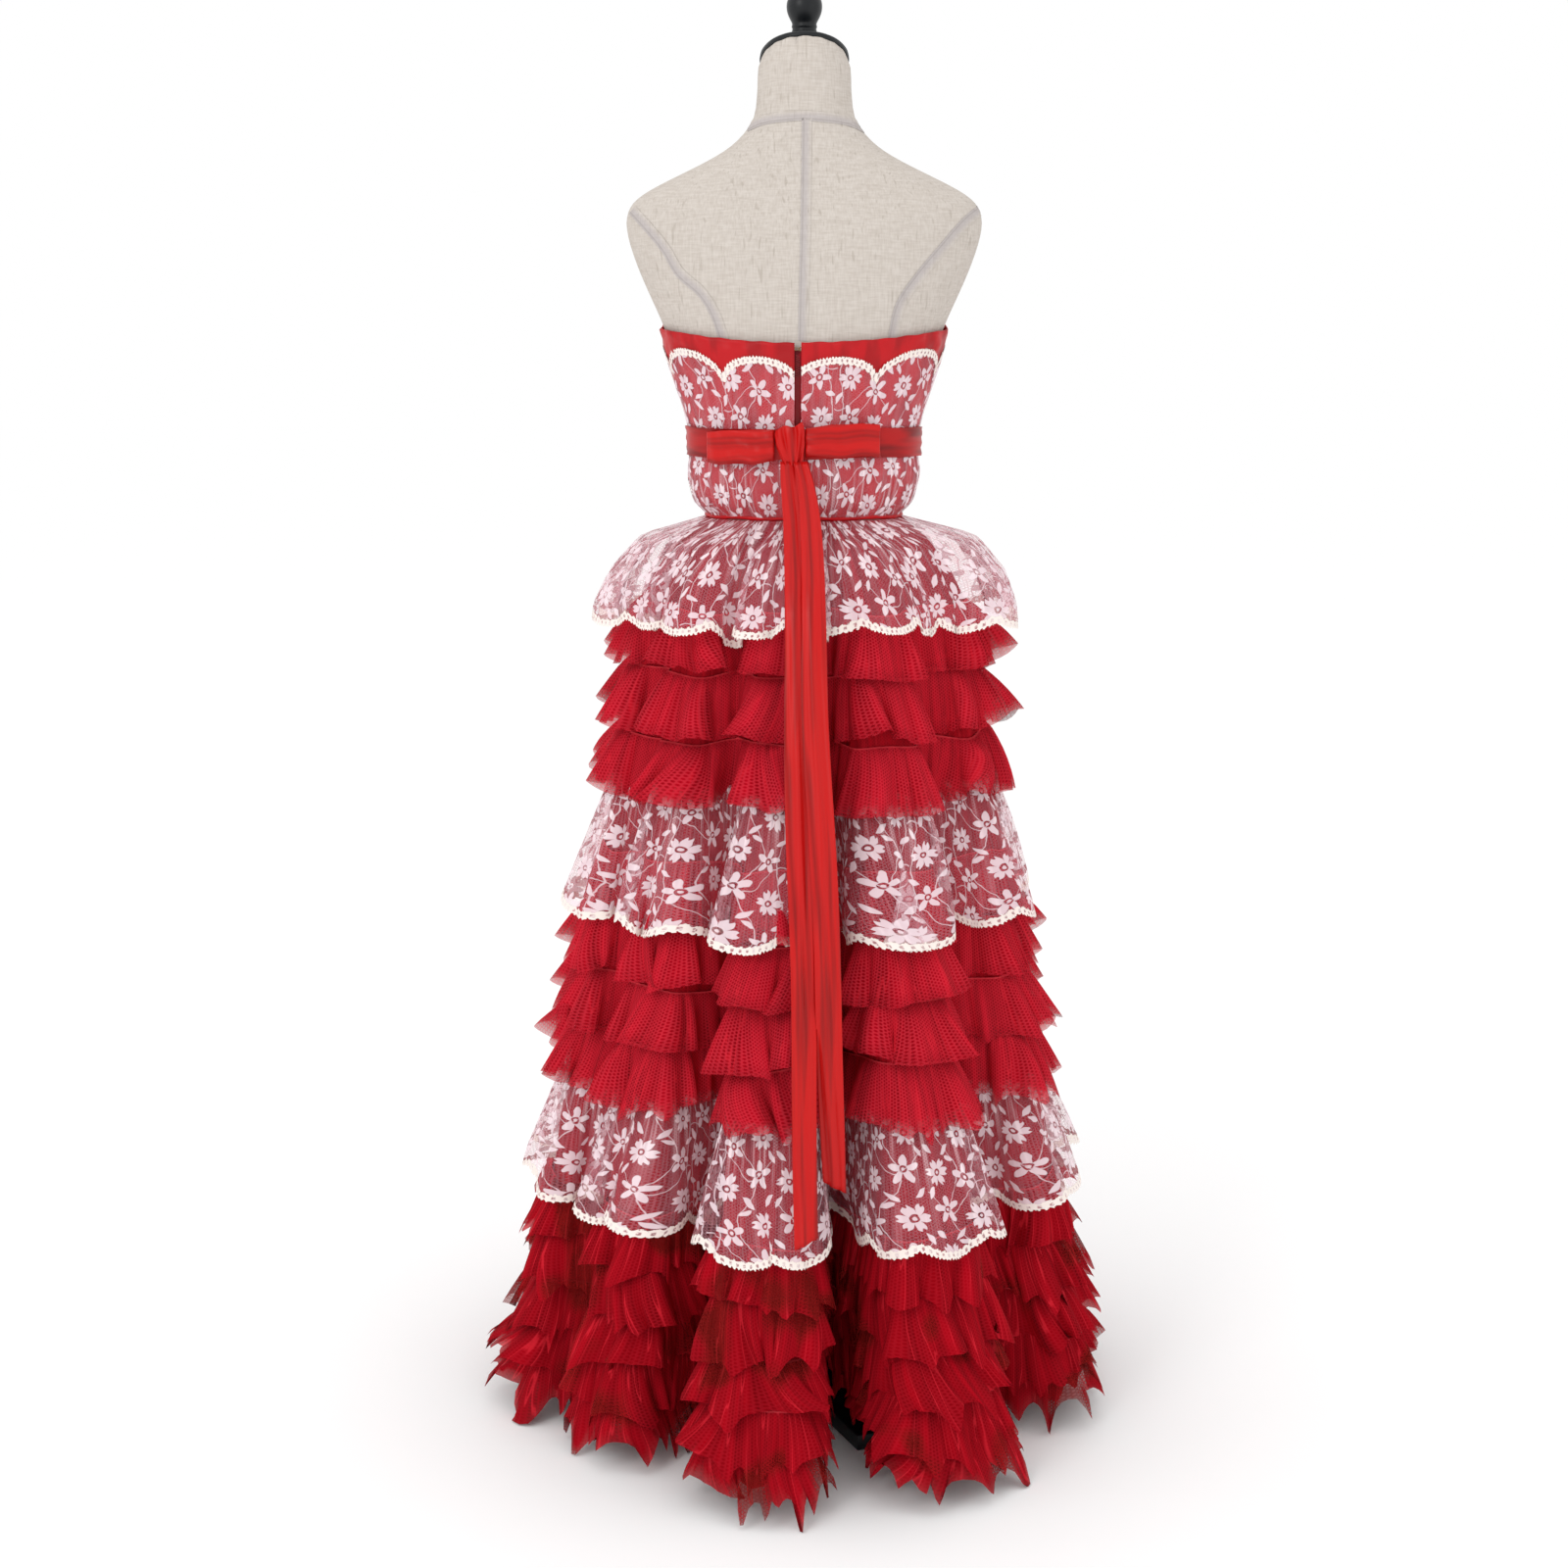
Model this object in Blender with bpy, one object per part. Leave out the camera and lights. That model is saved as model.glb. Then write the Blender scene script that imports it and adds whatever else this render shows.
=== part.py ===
"""A strapless prom dress on a limbless dress form.

Metres, +Z up. The garment's front faces -Y and its back, with the zip slot and the bow, faces +Y.
Its skirt has a lace peplum, twelve net ruffles and two lace ruffles over a net base.
The origin is the centre of the underside of the stand's cross.
"""

import math

import bpy
import numpy as np
from mathutils import Vector


def table(columns, *rows):
    """Rows of numbers as dictionaries with named columns."""
    return [dict(zip(columns.split(), row)) for row in rows]


# Cloth and seams
SEAM = 0.0003
SATIN_WALL = 0.0014
LACE_WALL = 0.0010
NET_WALL = 0.0012
RIBBON_WALL = 0.0011

# Stand
ARM_REACH = 0.220
ARM_WIDTH = 0.070
ARM_THICKNESS = 0.018
CROSS_TURN = math.radians(24)
POST_RADIUS = 0.0125
POST_SIDES = 24

# Dress form. back and front are depths from the form's axis, without the bust.
FORM_SECTIONS = table(
    "z half_width back front",
    (0.740, 0.1500, 0.1060, 0.0940),
    (0.810, 0.1580, 0.1120, 0.1000),
    (0.900, 0.1350, 0.0950, 0.0850),
    (0.945, 0.1080, 0.0785, 0.0785),
    (0.970, 0.1018, 0.0745, 0.0772),
    (0.9920, 0.1030, 0.0750, 0.0780),
    (1.0400, 0.1085, 0.0770, 0.0850),
    (1.0800, 0.1180, 0.0820, 0.0950),
    (1.1100, 0.1265, 0.0860, 0.1020),
    (1.1400, 0.1350, 0.0900, 0.1060),
    (1.1650, 0.1425, 0.0910, 0.1060),
    (1.1880, 0.1500, 0.0910, 0.1040),
    (1.2050, 0.1570, 0.0910, 0.1010),
    (1.2460, 0.1765, 0.0890, 0.0920),
    (1.2875, 0.1910, 0.0820, 0.0780),
    (1.3120, 0.1910, 0.0740, 0.0670),
    (1.3280, 0.1780, 0.0690, 0.0600),
    (1.3480, 0.1375, 0.0630, 0.0540),
    (1.3680, 0.0970, 0.0580, 0.0500),
    (1.3880, 0.0690, 0.0540, 0.0480),
    (1.4280, 0.0507, 0.0500, 0.0500),
)
FORM_SIDES = 32
SECTION_POWER = 2.25
NECK_TOP_Z = 1.468
NECK_TOP_RADIUS = 0.0495
NECK_TILT = math.radians(20)
BUST_SIDE = 0.072
BUST_Z = 1.140
BUST_WIDTH = 0.050
BUST_HEIGHT = 0.046
BUST_DEPTH = 0.029
CAP_PROFILE = table(
    "height radius",
    (0.0000, 0.0505),
    (0.0015, 0.0520),
    (0.0045, 0.0520),
    (0.0060, 0.0505),
)
FINIAL_PROFILE = table(
    "height radius",
    (0.0000, 0.0170),
    (0.0040, 0.0160),
    (0.0100, 0.0130),
    (0.0220, 0.0130),
    (0.0300, 0.0175),
    (0.0420, 0.0195),
    (0.0540, 0.0180),
    (0.0650, 0.0125),
    (0.0700, 0.0060),
)
FINIAL_SIDES = 16

# Bodice, waist to neckline, without the cups.
BODICE_SECTIONS = table(
    "z half_width back front",
    (0.9885, 0.1060, 0.0780, 0.0810),
    (0.9935, 0.1060, 0.0780, 0.0810),
    (1.0040, 0.1150, 0.0840, 0.0870),
    (1.0170, 0.1200, 0.0870, 0.0900),
    (1.0380, 0.1240, 0.0890, 0.0950),
    (1.0540, 0.1235, 0.0895, 0.0990),
    (1.0860, 0.1250, 0.0910, 0.1060),
    (1.1220, 0.1355, 0.0950, 0.1120),
    (1.1640, 0.1490, 0.0970, 0.1150),
    (1.2300, 0.1640, 0.0980, 0.1120),
)
BODICE_ROWS = (0.9935, 1.0040, 1.0170, 1.0380, 1.0540, 1.0860, 1.1120, 1.1330)
BODICE_BUST = 0.031
PROBE_TURN = 0.03
PROBE_RISE = 0.004
BAND_ROWS = (1.0540, 1.0860)
BACK_TOP = 1.174
SIDE_TOP = 1.188
CUP_TOP = 1.212
FRONT_DIP = 0.016
CUP_START = 0.55
DIP_START = 0.72
LACE_DROP = 0.015
SCALLOP_PITCH = 0.092
SCALLOP_DEPTH = 0.022
SCALLOP_START = 0.25
SLOT_X = 0.0072
SLOT_WIDTH = 0.0090
BACK_STEPS = 8
FRONT_STEPS = 18
SIDE_GAP = 0.0030
TAPE_REACH = 0.0090
TAPE_ROWS = (1.020, 1.060, 1.100, 1.140, 1.166)
TAPE_WALL = 0.0008
TAPE_INSET = 0.0008
HOOK = {"width": 0.0080, "thick": 0.0012, "height": 0.0045, "z": 1.1675}
PIPING_Z = 0.9910
PIPING_RADIUS = 0.0020
PIPING_SIDES = 6
PIPING_STEPS = 36

# Bow and streamers. across is measured along +X from the form's axis.
KNOT = {"low": 1.0485, "high": 1.0905, "left": 0.030, "right": 0.000, "depth": 0.0050}
KNOT_SWELL = table(
    "share swell", (0.0, 0.72), (0.15, 0.93), (0.5, 1.0), (0.85, 0.93), (1.0, 0.72)
)
KNOT_SIDES = 12
LOOP_STATIONS = {
    "bow_loop_left": table(
        "across low high",
        (0.0310, 1.0530, 1.0850),
        (0.0520, 1.0490, 1.0850),
        (0.0760, 1.0490, 1.0830),
        (0.0960, 1.0500, 1.0820),
    ),
    "bow_loop_right": table(
        "across low high",
        (-0.0010, 1.0560, 1.0860),
        (-0.0260, 1.0560, 1.0900),
        (-0.0500, 1.0565, 1.0905),
        (-0.0740, 1.0570, 1.0900),
    ),
}
LOOP_DEPTH = 0.0034
BOW_STAND = 0.0008
STREAMERS = {
    "streamer_left": table(
        "z across width",
        (1.0480, 0.0140, 0.017),
        (0.9900, 0.0100, 0.022),
        (0.8000, 0.0070, 0.025),
        (0.6500, 0.0050, 0.026),
        (0.4500, 0.0010, 0.024),
        (0.2960, -0.0010, 0.022),
    ),
    "streamer_right": table(
        "z across width",
        (1.0480, -0.0020, 0.013),
        (0.9900, -0.0060, 0.018),
        (0.8000, -0.0110, 0.024),
        (0.6500, -0.0180, 0.027),
        (0.4500, -0.0260, 0.025),
        (0.3400, -0.0300, 0.022),
    ),
}
STREAMER_SPOTS = (-1.2, -0.6, 0.0, 0.6, 1.2)
STREAMER_STEPS = 8
STREAMER_STEP_LEAST = 0.008
STREAMERS_PART = 0.500
STREAMER_START = 0.0048
STREAMER_CREASE = 0.0030
STREAMER_CLEARANCE = 0.0025
STREAMER_LAYER = 0.0055
STREAMER_SLANT = 0.014
STREAMER_END_REACH = 0.050

# Skirt folds. turn is the direction of a ridge in degrees, from the centre back towards -X, and
# reach its distance from the axis at the hem. trough_turn and trough_reach are those of the
# trough after it, and swing is how far the peplum stands off over the ridge.
FOLDS = table(
    "turn reach trough_turn trough_reach swing",
    (-8, 0.367, 9, 0.160, 0.024),
    (26, 0.366, 48, 0.230, 0.028),
    (72, 0.330, 90, 0.250, 0.046),
    (106, 0.325, 121, 0.240, 0.050),
    (136, 0.330, 151, 0.230, 0.034),
    (166, 0.335, 181, 0.230, 0.030),
    (196, 0.335, 210, 0.230, 0.032),
    (225, 0.330, 240, 0.240, 0.034),
    (255, 0.325, 270, 0.250, 0.038),
    (286, 0.330, 302, 0.280, 0.034),
    (315, 0.315, 333, 0.200, 0.026),
)
# The way from a trough to the ridge beside it. open is the share of a ruffle's flare kept there.
FLANK = table(
    "turn_share depth_share open",
    (0.00, 0.00, 0.25),
    (0.38, 0.50, 0.55),
    (0.60, 0.97, 1.00),
)
WAIST_Z = 0.9885
HIP_Z = 0.900
HEM_Z = 0.012
HIP = {"half_width": 0.172, "back": 0.145, "front": 0.134}
HIP_RIDGE = 0.006
HIP_TROUGH = -0.007
YOKE = table("z share", (0.9885, 0.0), (0.962, 0.46), (0.930, 0.80), (0.900, 1.0))
BASE_LEVELS = (0.740, 0.580, 0.420, 0.270, 0.130)
LIFTED_TROUGH = 0
HEM_LIFT = 0.056
LIFT_BELOW = 0.300
MITRE_LIMIT = 2.4
SWING_LEAST = 0.55

NET_RUFFLES = table(
    "seam edge flare",
    (0.900, 0.834, 0.019),
    (0.834, 0.765, 0.019),
    (0.765, 0.700, 0.019),
    (0.635, 0.568, 0.015),
    (0.568, 0.505, 0.019),
    (0.505, 0.442, 0.020),
    (0.442, 0.381, 0.020),
    (0.268, 0.216, 0.016),
    (0.216, 0.160, 0.018),
    (0.160, 0.109, 0.018),
    (0.109, 0.056, 0.017),
    (0.056, 0.006, 0.016),
)
FLARE_SWAY = 0.14
SWAY_TIER_STEP = 2.4
SWAY_LINE_STEP = 1.7
FIRST_LACE_TIER = 20
LACE_RUFFLES = {
    "lace_ruffle_upper": table("z flare", (0.710, 0.0), (0.645, 0.019), (0.574, 0.028)),
    "lace_ruffle_lower": table("z flare", (0.386, 0.0), (0.330, 0.016), (0.2665, 0.026)),
}
PEPLUM = table("z flare swing", (0.9885, 0.0, 0.0), (0.953, 0.008, 1.0), (0.886, 0.012, 0.8))
SCALLOP_DROP = 0.011
PEPLUM_SPLIT = 0.06

COLOURS = table(
    "name red green blue rough metal",
    ("linen", 0.60, 0.55, 0.48, 0.9, 0.0),
    ("black_lacquer", 0.012, 0.014, 0.018, 0.35, 0.0),
    ("red_satin", 0.52, 0.010, 0.010, 0.38, 0.0),
    ("red_net", 0.50, 0.004, 0.018, 0.8, 0.0),
    ("white_lace", 0.86, 0.79, 0.78, 0.85, 0.0),
    ("red_ribbon", 0.62, 0.012, 0.008, 0.35, 0.0),
    ("hook_metal", 0.16, 0.11, 0.08, 0.45, 1.0),
)


def clear_scene():
    for thing in list(bpy.data.objects):
        bpy.data.objects.remove(thing)


def make_materials():
    made = {}
    for row in COLOURS:
        material = bpy.data.materials.new(row["name"])
        material.use_nodes = True
        shader = material.node_tree.nodes["Principled BSDF"]
        shader.inputs["Base Color"].default_value = (row["red"], row["green"], row["blue"], 1)
        shader.inputs["Roughness"].default_value = row["rough"]
        shader.inputs["Metallic"].default_value = row["metal"]
        made[row["name"]] = material
    return made


def finish_object(name, points, faces, material):
    mesh = bpy.data.meshes.new(name)
    mesh.from_pydata(points, [], faces)
    mesh.materials.append(material)
    mesh.shade_smooth()
    mesh.set_sharp_from_angle(angle=math.radians(50))
    thing = bpy.data.objects.new(name, mesh)
    bpy.context.scene.collection.objects.link(thing)
    return thing


def solid_of_rings(name, rings, material):
    """One closed body from rings of equal count, low to high, each anticlockwise from above."""
    count = len(rings[0])
    points = [p for ring in rings for p in ring]
    faces = []
    for k in range(len(rings) - 1):
        for j in range(count):
            n = (j + 1) % count
            faces.append((k * count + j, k * count + n, (k + 1) * count + n, (k + 1) * count + j))
    top = (len(rings) - 1) * count
    faces.append(tuple(reversed(range(count))))
    faces.append(tuple(range(top, top + count)))
    return finish_object(name, points, faces, material)


def wall(name, outer, inner, material, joined, slants=None, tips=None):
    """A wall of cloth between two grids of points.

    Rows run low to high and columns anticlockwise from above. joined closes it round. slants
    holds, for each strip, which diagonal its faces take. tips are extra points along the lower
    edge, an outer and an inner one for each strip, that make scallops.
    """
    count = len(outer[0])
    levels = len(outer)
    strips = count if joined else count - 1
    points = [p for row in outer for p in row] + [p for row in inner for p in row]
    layer = levels * count
    first_tip = len(points)
    for pair in tips or []:
        points.extend(pair)

    def corner(level, column, side):
        return side * layer + level * count + column % count

    faces = []
    for side in (0, 1):
        made = []
        for level in range(levels - 1):
            for j in range(strips):
                a = corner(level, j, side)
                b = corner(level, j + 1, side)
                c = corner(level + 1, j + 1, side)
                d = corner(level + 1, j, side)
                if tips and level == 0:
                    tip = first_tip + 2 * j + side
                    made += [(a, tip, d), (tip, c, d), (tip, b, c)]
                elif slants is None or slants[j]:
                    made += [(a, b, c), (a, c, d)]
                else:
                    made += [(a, b, d), (b, c, d)]
        faces += made if side == 0 else [face[::-1] for face in made]
    for j in range(strips):
        a, b = corner(0, j, 0), corner(0, j + 1, 0)
        a_in, b_in = corner(0, j, 1), corner(0, j + 1, 1)
        if tips:
            tip = first_tip + 2 * j
            faces += [(tip, a, a_in), (tip, a_in, tip + 1)]
            faces += [(b, tip, tip + 1), (b, tip + 1, b_in)]
        else:
            faces += [(b, a, a_in), (b, a_in, b_in)]
        d, c = corner(levels - 1, j, 0), corner(levels - 1, j + 1, 0)
        d_in, c_in = corner(levels - 1, j, 1), corner(levels - 1, j + 1, 1)
        faces += [(d, c, c_in), (d, c_in, d_in)]
    if not joined:
        for level in range(levels - 1):
            a, d = corner(level, 0, 0), corner(level + 1, 0, 0)
            a_in, d_in = corner(level, 0, 1), corner(level + 1, 0, 1)
            faces += [(a, d, d_in), (a, d_in, a_in)]
            b, c = corner(level, strips, 0), corner(level + 1, strips, 0)
            b_in, c_in = corner(level, strips, 1), corner(level + 1, strips, 1)
            faces += [(c, b, b_in), (c, b_in, c_in)]
    return finish_object(name, points, faces, material)


def curve_value(sections, column, z):
    """Smooth value of one column at height z, by a cubic through the rows."""
    heights = [row["z"] for row in sections]
    values = [row[column] for row in sections]
    last = len(heights) - 1
    z = min(max(z, heights[0]), heights[last])
    i = min(max(int(np.searchsorted(heights, z)) - 1, 0), last - 1)

    def slope(k):
        low, high = max(k - 1, 0), min(k + 1, last)
        return (values[high] - values[low]) / (heights[high] - heights[low])

    step = heights[i + 1] - heights[i]
    t = (z - heights[i]) / step
    return (
        (1 + 2 * t) * (1 - t) ** 2 * values[i]
        + t * (1 - t) ** 2 * step * slope(i)
        + t * t * (3 - 2 * t) * values[i + 1]
        + t * t * (t - 1) * step * slope(i + 1)
    )


def body_point(sections, bust, angle, z):
    """A point of a rounded body section. Angle 0 is +X and a quarter turn is the back, +Y."""
    c, s = math.cos(angle), math.sin(angle)
    half = curve_value(sections, "half_width", z)
    depth = curve_value(sections, "back" if s >= 0 else "front", z)
    power = 2 / SECTION_POWER
    x = half * math.copysign(abs(c) ** power, c)
    y = depth * math.copysign(abs(s) ** power, s)
    if s < 0:
        across = (abs(x) - BUST_SIDE) / BUST_WIDTH
        up = (z - BUST_Z) / BUST_HEIGHT
        y -= bust * math.exp(-across * across - up * up) * min(1.0, -2 * s)
    return Vector((x, y, z))


def bodice_point(angle, z, out):
    """A point at a distance out from the bodice's satin."""
    here, ahead, behind, above, below = [
        body_point(BODICE_SECTIONS, BODICE_BUST, angle + turn, z + rise)
        for turn, rise in ((0, 0), (PROBE_TURN, 0), (-PROBE_TURN, 0), (0, PROBE_RISE), (0, -PROBE_RISE))
    ]
    up = above - below
    up.z = 2 * PROBE_RISE
    return here + (ahead - behind).cross(up).normalized() * out


def back_angle(x, z):
    """Angle at which the bodice's back is x to the side of the form's axis."""
    half = curve_value(BODICE_SECTIONS, "half_width", z)
    return math.acos(math.copysign((abs(x) / half) ** (SECTION_POWER / 2), x))


def make_stand(materials):
    half = ARM_WIDTH / 2
    quarter = [(ARM_REACH, -half), (ARM_REACH, half), (half, half)]
    outline = []
    for k in range(4):
        for x, y in quarter:
            a = CROSS_TURN + k * math.pi / 2
            outline.append((x * math.cos(a) - y * math.sin(a), x * math.sin(a) + y * math.cos(a)))
    rings = [[Vector((x, y, z)) for x, y in outline] for z in (0.0, ARM_THICKNESS)]
    solid_of_rings("stand_base", rings, materials["black_lacquer"])

    low = ARM_THICKNESS + SEAM
    high = FORM_SECTIONS[0]["z"] - SEAM
    bpy.ops.mesh.primitive_cylinder_add(
        vertices=POST_SIDES, radius=POST_RADIUS, depth=high - low, location=(0, 0, (high + low) / 2)
    )
    post = bpy.context.object
    post.name = "stand_post"
    post.data.materials.append(materials["black_lacquer"])


def make_form(materials):
    angles = [2 * math.pi * j / FORM_SIDES for j in range(FORM_SIDES)]
    rings = [
        [body_point(FORM_SECTIONS, BUST_DEPTH, a, row["z"]) for a in angles]
        for row in FORM_SECTIONS
    ]
    rim = []
    for a in angles:
        x, y = NECK_TOP_RADIUS * math.cos(a), NECK_TOP_RADIUS * math.sin(a)
        rim.append(Vector((x, y, NECK_TOP_Z + y * math.tan(NECK_TILT))))
    solid_of_rings("form_torso", rings + [rim], materials["linen"])

    neck_top = bpy.data.objects.new("neck_top", None)
    bpy.context.scene.collection.objects.link(neck_top)
    neck_top.location.z = NECK_TOP_Z
    neck_top.rotation_euler.x = NECK_TILT
    turned("form_neck_cap", CAP_PROFILE, FORM_SIDES, neck_top, SEAM, materials)
    above_cap = CAP_PROFILE[-1]["height"] + 2 * SEAM
    turned("form_finial", FINIAL_PROFILE, FINIAL_SIDES, neck_top, above_cap, materials)


def turned(name, profile, sides, holder, height, materials):
    angles = [2 * math.pi * j / sides for j in range(sides)]
    rings = [
        [
            Vector((row["radius"] * math.cos(a), row["radius"] * math.sin(a), row["height"]))
            for a in angles
        ]
        for row in profile
    ]
    thing = solid_of_rings(name, rings, materials["black_lacquer"])
    thing.parent = holder
    thing.location.z = height


def neckline(angle):
    """Height of the bodice's top edge. It dips between the cups and at the centre back."""
    s = math.sin(angle)
    if s >= 0:
        return SIDE_TOP + (BACK_TOP - SIDE_TOP) * s * s
    rise = math.sin(min(1.0, -s / CUP_START) * math.pi / 2) ** 2
    dip = max(0.0, (-s - DIP_START) / (1 - DIP_START)) ** 2
    return SIDE_TOP + (CUP_TOP - SIDE_TOP) * rise - FRONT_DIP * dip


def panel_columns():
    """Start and end of each bodice panel. A number is an angle and a tuple holds a fixed x."""
    half_slot = SLOT_WIDTH / 2
    return {
        "back_left": (SIDE_GAP, (SLOT_X + half_slot,), BACK_STEPS),
        "back_right": ((SLOT_X - half_slot,), math.pi - SIDE_GAP, BACK_STEPS),
        "front": (math.pi + SIDE_GAP, 2 * math.pi - SIDE_GAP, FRONT_STEPS),
    }


def panel_angles(start, end, steps, z):
    low = back_angle(start[0], z) if isinstance(start, tuple) else start
    high = back_angle(end[0], z) if isinstance(end, tuple) else end
    return [low + (high - low) * i / steps for i in range(steps + 1)]


def panel_places(start, end, steps):
    """Rows of (angle, height) places over one bodice panel.

    The last row is the neckline, and the row before it is the scalloped edge of the lace.
    """
    rows = [[(a, z) for a in panel_angles(start, end, steps, z)] for z in BODICE_ROWS]
    top = [(a, neckline(a)) for a in panel_angles(start, end, steps, BACK_TOP)]
    points = [bodice_point(a, z, 0.0) for a, z in top]
    edge = []
    run = 0.0
    for j, (angle, z) in enumerate(top):
        if j:
            run += (points[j] - points[j - 1]).length
        wave = abs(math.sin(math.pi * (run / SCALLOP_PITCH + SCALLOP_START)))
        edge.append((angle, z - LACE_DROP - SCALLOP_DEPTH * (1 - wave)))
    return rows + [edge, top]


def over_bodice(name, places, low, high, material, joined=False):
    outer = [[bodice_point(a, z, high) for a, z in row] for row in places]
    inner = [[bodice_point(a, z, low) for a, z in row] for row in places]
    wall(name, outer, inner, material, joined)


def make_bodice(materials):
    for name, (start, end, steps) in panel_columns().items():
        places = panel_places(start, end, steps)
        over_bodice("bodice_" + name, places, -SATIN_WALL, 0.0, materials["red_satin"])
        lace = "lace_bodice_" + name
        over_bodice(lace, places[:-1], SEAM, SEAM + LACE_WALL, materials["white_lace"])


def make_zip(materials):
    """The tape behind the slot, and the hook and eye across its top."""
    places = [
        [(back_angle(SLOT_X + reach, z), z) for reach in (TAPE_REACH, 0.0, -TAPE_REACH)]
        for z in TAPE_ROWS
    ]
    depth = -SATIN_WALL - TAPE_INSET
    over_bodice("zip_tape", places, depth - TAPE_WALL, depth, materials["red_satin"])

    centre = bodice_point(back_angle(SLOT_X, HOOK["z"]), HOOK["z"], -SATIN_WALL / 2)
    bpy.ops.mesh.primitive_cube_add(size=1, location=centre)
    hook = bpy.context.object
    hook.name = "hook_and_eye"
    for vertex in hook.data.vertices:
        vertex.co.x *= HOOK["width"]
        vertex.co.y *= HOOK["thick"]
        vertex.co.z *= HOOK["height"]
    hook.data.materials.append(materials["hook_metal"])


def make_band(materials):
    """The ribbon band lies on the lace, so its columns are those of the panels under it."""
    places = []
    for z in BAND_ROWS:
        row = []
        for start, end, steps in panel_columns().values():
            row += [(a, z) for a in panel_angles(start, end, steps, z)]
        places.append(row)
    low = 2 * SEAM + LACE_WALL
    over_bodice("ribbon_band", places, low, low + RIBBON_WALL, materials["red_ribbon"], True)


def bow_point(x, z, out):
    """A point out from the bodice's back, on a flat vertical sheet."""
    point = bodice_point(back_angle(x, BAND_ROWS[1]), BAND_ROWS[1], out)
    return Vector((point.x, point.y, z))


def make_bow(materials):
    """Two flat loops folded back on themselves, and the knot that holds them."""
    surface = 3 * SEAM + LACE_WALL + RIBBON_WALL + BOW_STAND
    for name, stations in LOOP_STATIONS.items():
        under = [(row["across"], row["low"], row["high"], surface) for row in stations]
        over = [
            (row["across"], row["low"], row["high"], surface + LOOP_DEPTH)
            for row in reversed(stations)
        ]
        end = stations[-1]
        turn = end["across"] + math.copysign(LOOP_DEPTH * 0.5, end["across"])
        path = under + [(turn, end["low"], end["high"], surface + LOOP_DEPTH / 2)] + over
        if name == "bow_loop_right":
            path = path[::-1]
        rings = [
            [bow_point(x, (low, high)[k], out) for x, low, high, out in path] for k in (0, 1)
        ]
        inner = []
        for row in rings:
            moved = []
            for j, p in enumerate(row):
                ahead, behind = row[min(j + 1, len(row) - 1)], row[max(j - 1, 0)]
                way = (ahead - behind).normalized()
                moved.append(p - Vector((way.y, -way.x, 0)) * RIBBON_WALL)
            inner.append(moved)
        wall(name, rings, inner, materials["red_ribbon"], False)
    rings = []
    middle = (KNOT["left"] + KNOT["right"]) / 2
    half = (KNOT["left"] - KNOT["right"]) / 2 - 2 * SEAM
    rise = KNOT["high"] - KNOT["low"]
    for row in KNOT_SWELL:
        swell = row["swell"]
        ring = []
        for j in range(KNOT_SIDES):
            a = 2 * math.pi * j / KNOT_SIDES
            x = middle + half * swell * math.cos(a)
            out = surface + KNOT["depth"] * (0.5 + 0.5 * swell * math.sin(a))
            ring.append(bow_point(x, KNOT["low"] + rise * row["share"], out))
        rings.append(ring)
    solid_of_rings("bow_knot", rings, materials["red_ribbon"])


def make_piping(materials):
    """The covered cord let in between the bodice and the skirt."""
    points = []
    faces = []
    for j in range(PIPING_STEPS):
        centre = body_point(BODICE_SECTIONS, 0, 2 * math.pi * j / PIPING_STEPS, PIPING_Z)
        outward = Vector((centre.x, centre.y, 0)).normalized()
        for k in range(PIPING_SIDES):
            a = 2 * math.pi * k / PIPING_SIDES
            offset = outward * (math.cos(a) * PIPING_RADIUS)
            offset.z = math.sin(a) * PIPING_RADIUS
            points.append(centre + offset)
            n, m = (j + 1) % PIPING_STEPS, (k + 1) % PIPING_SIDES
            row, after = j * PIPING_SIDES, n * PIPING_SIDES
            faces.append((row + k, after + k, after + m, row + m))
    finish_object("waist_piping", points, faces, materials["red_satin"])


def direction(turn):
    """Unit vector of a turn in degrees from the centre back towards -X."""
    a = math.radians(turn)
    return Vector((-math.sin(a), math.cos(a)))


def oval(turn, half_width, back, front):
    """Point of a rounded section in the direction of a turn."""
    way = direction(turn)
    depth = back if way.y >= 0 else front
    power = SECTION_POWER
    return way * (abs(way.x / half_width) ** power + abs(way.y / depth) ** power) ** (-1 / power)


def skirt_lines():
    """The lines that the skirt hangs in, from waist to hip to hem, in order round it."""
    lines = []
    for i, fold in enumerate(FOLDS):
        before = FOLDS[i - 1]
        before_turn = before["trough_turn"] - (360 if i == 0 else 0)
        lines += fold_side(before_turn, before["trough_reach"], fold, (0, 1, 2))
        lines += fold_side(fold["trough_turn"], fold["trough_reach"], fold, (2, 1))
    for line in lines:
        line["lift"] = 0.0
    lifted = (LIFTED_TROUGH + 1) * (2 * len(FLANK) - 1)
    lines[lifted]["lift"] = HEM_LIFT
    for neighbour in (lifted - 1, lifted + 1):
        lines[neighbour]["lift"] = HEM_LIFT * 0.5
    return lines


def fold_side(trough_turn, trough_reach, fold, steps):
    made = []
    for step in steps:
        place = FLANK[step]
        turn = trough_turn + (fold["turn"] - trough_turn) * place["turn_share"]
        depth = place["depth_share"]
        ridge = HIP_TROUGH + (HIP_RIDGE - HIP_TROUGH) * depth
        hip = oval(turn, **HIP)
        waist = {name: curve_value(BODICE_SECTIONS, name, WAIST_Z) for name in HIP}
        made.append(
            {
                "waist": oval(turn, **waist),
                "hip": hip + hip.normalized() * ridge,
                "hem": direction(turn) * (trough_reach + (fold["reach"] - trough_reach) * depth),
                "open": place["open"],
                "swing": fold["swing"] * (SWING_LEAST + (1 - SWING_LEAST) * depth),
            }
        )
    return made


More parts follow.
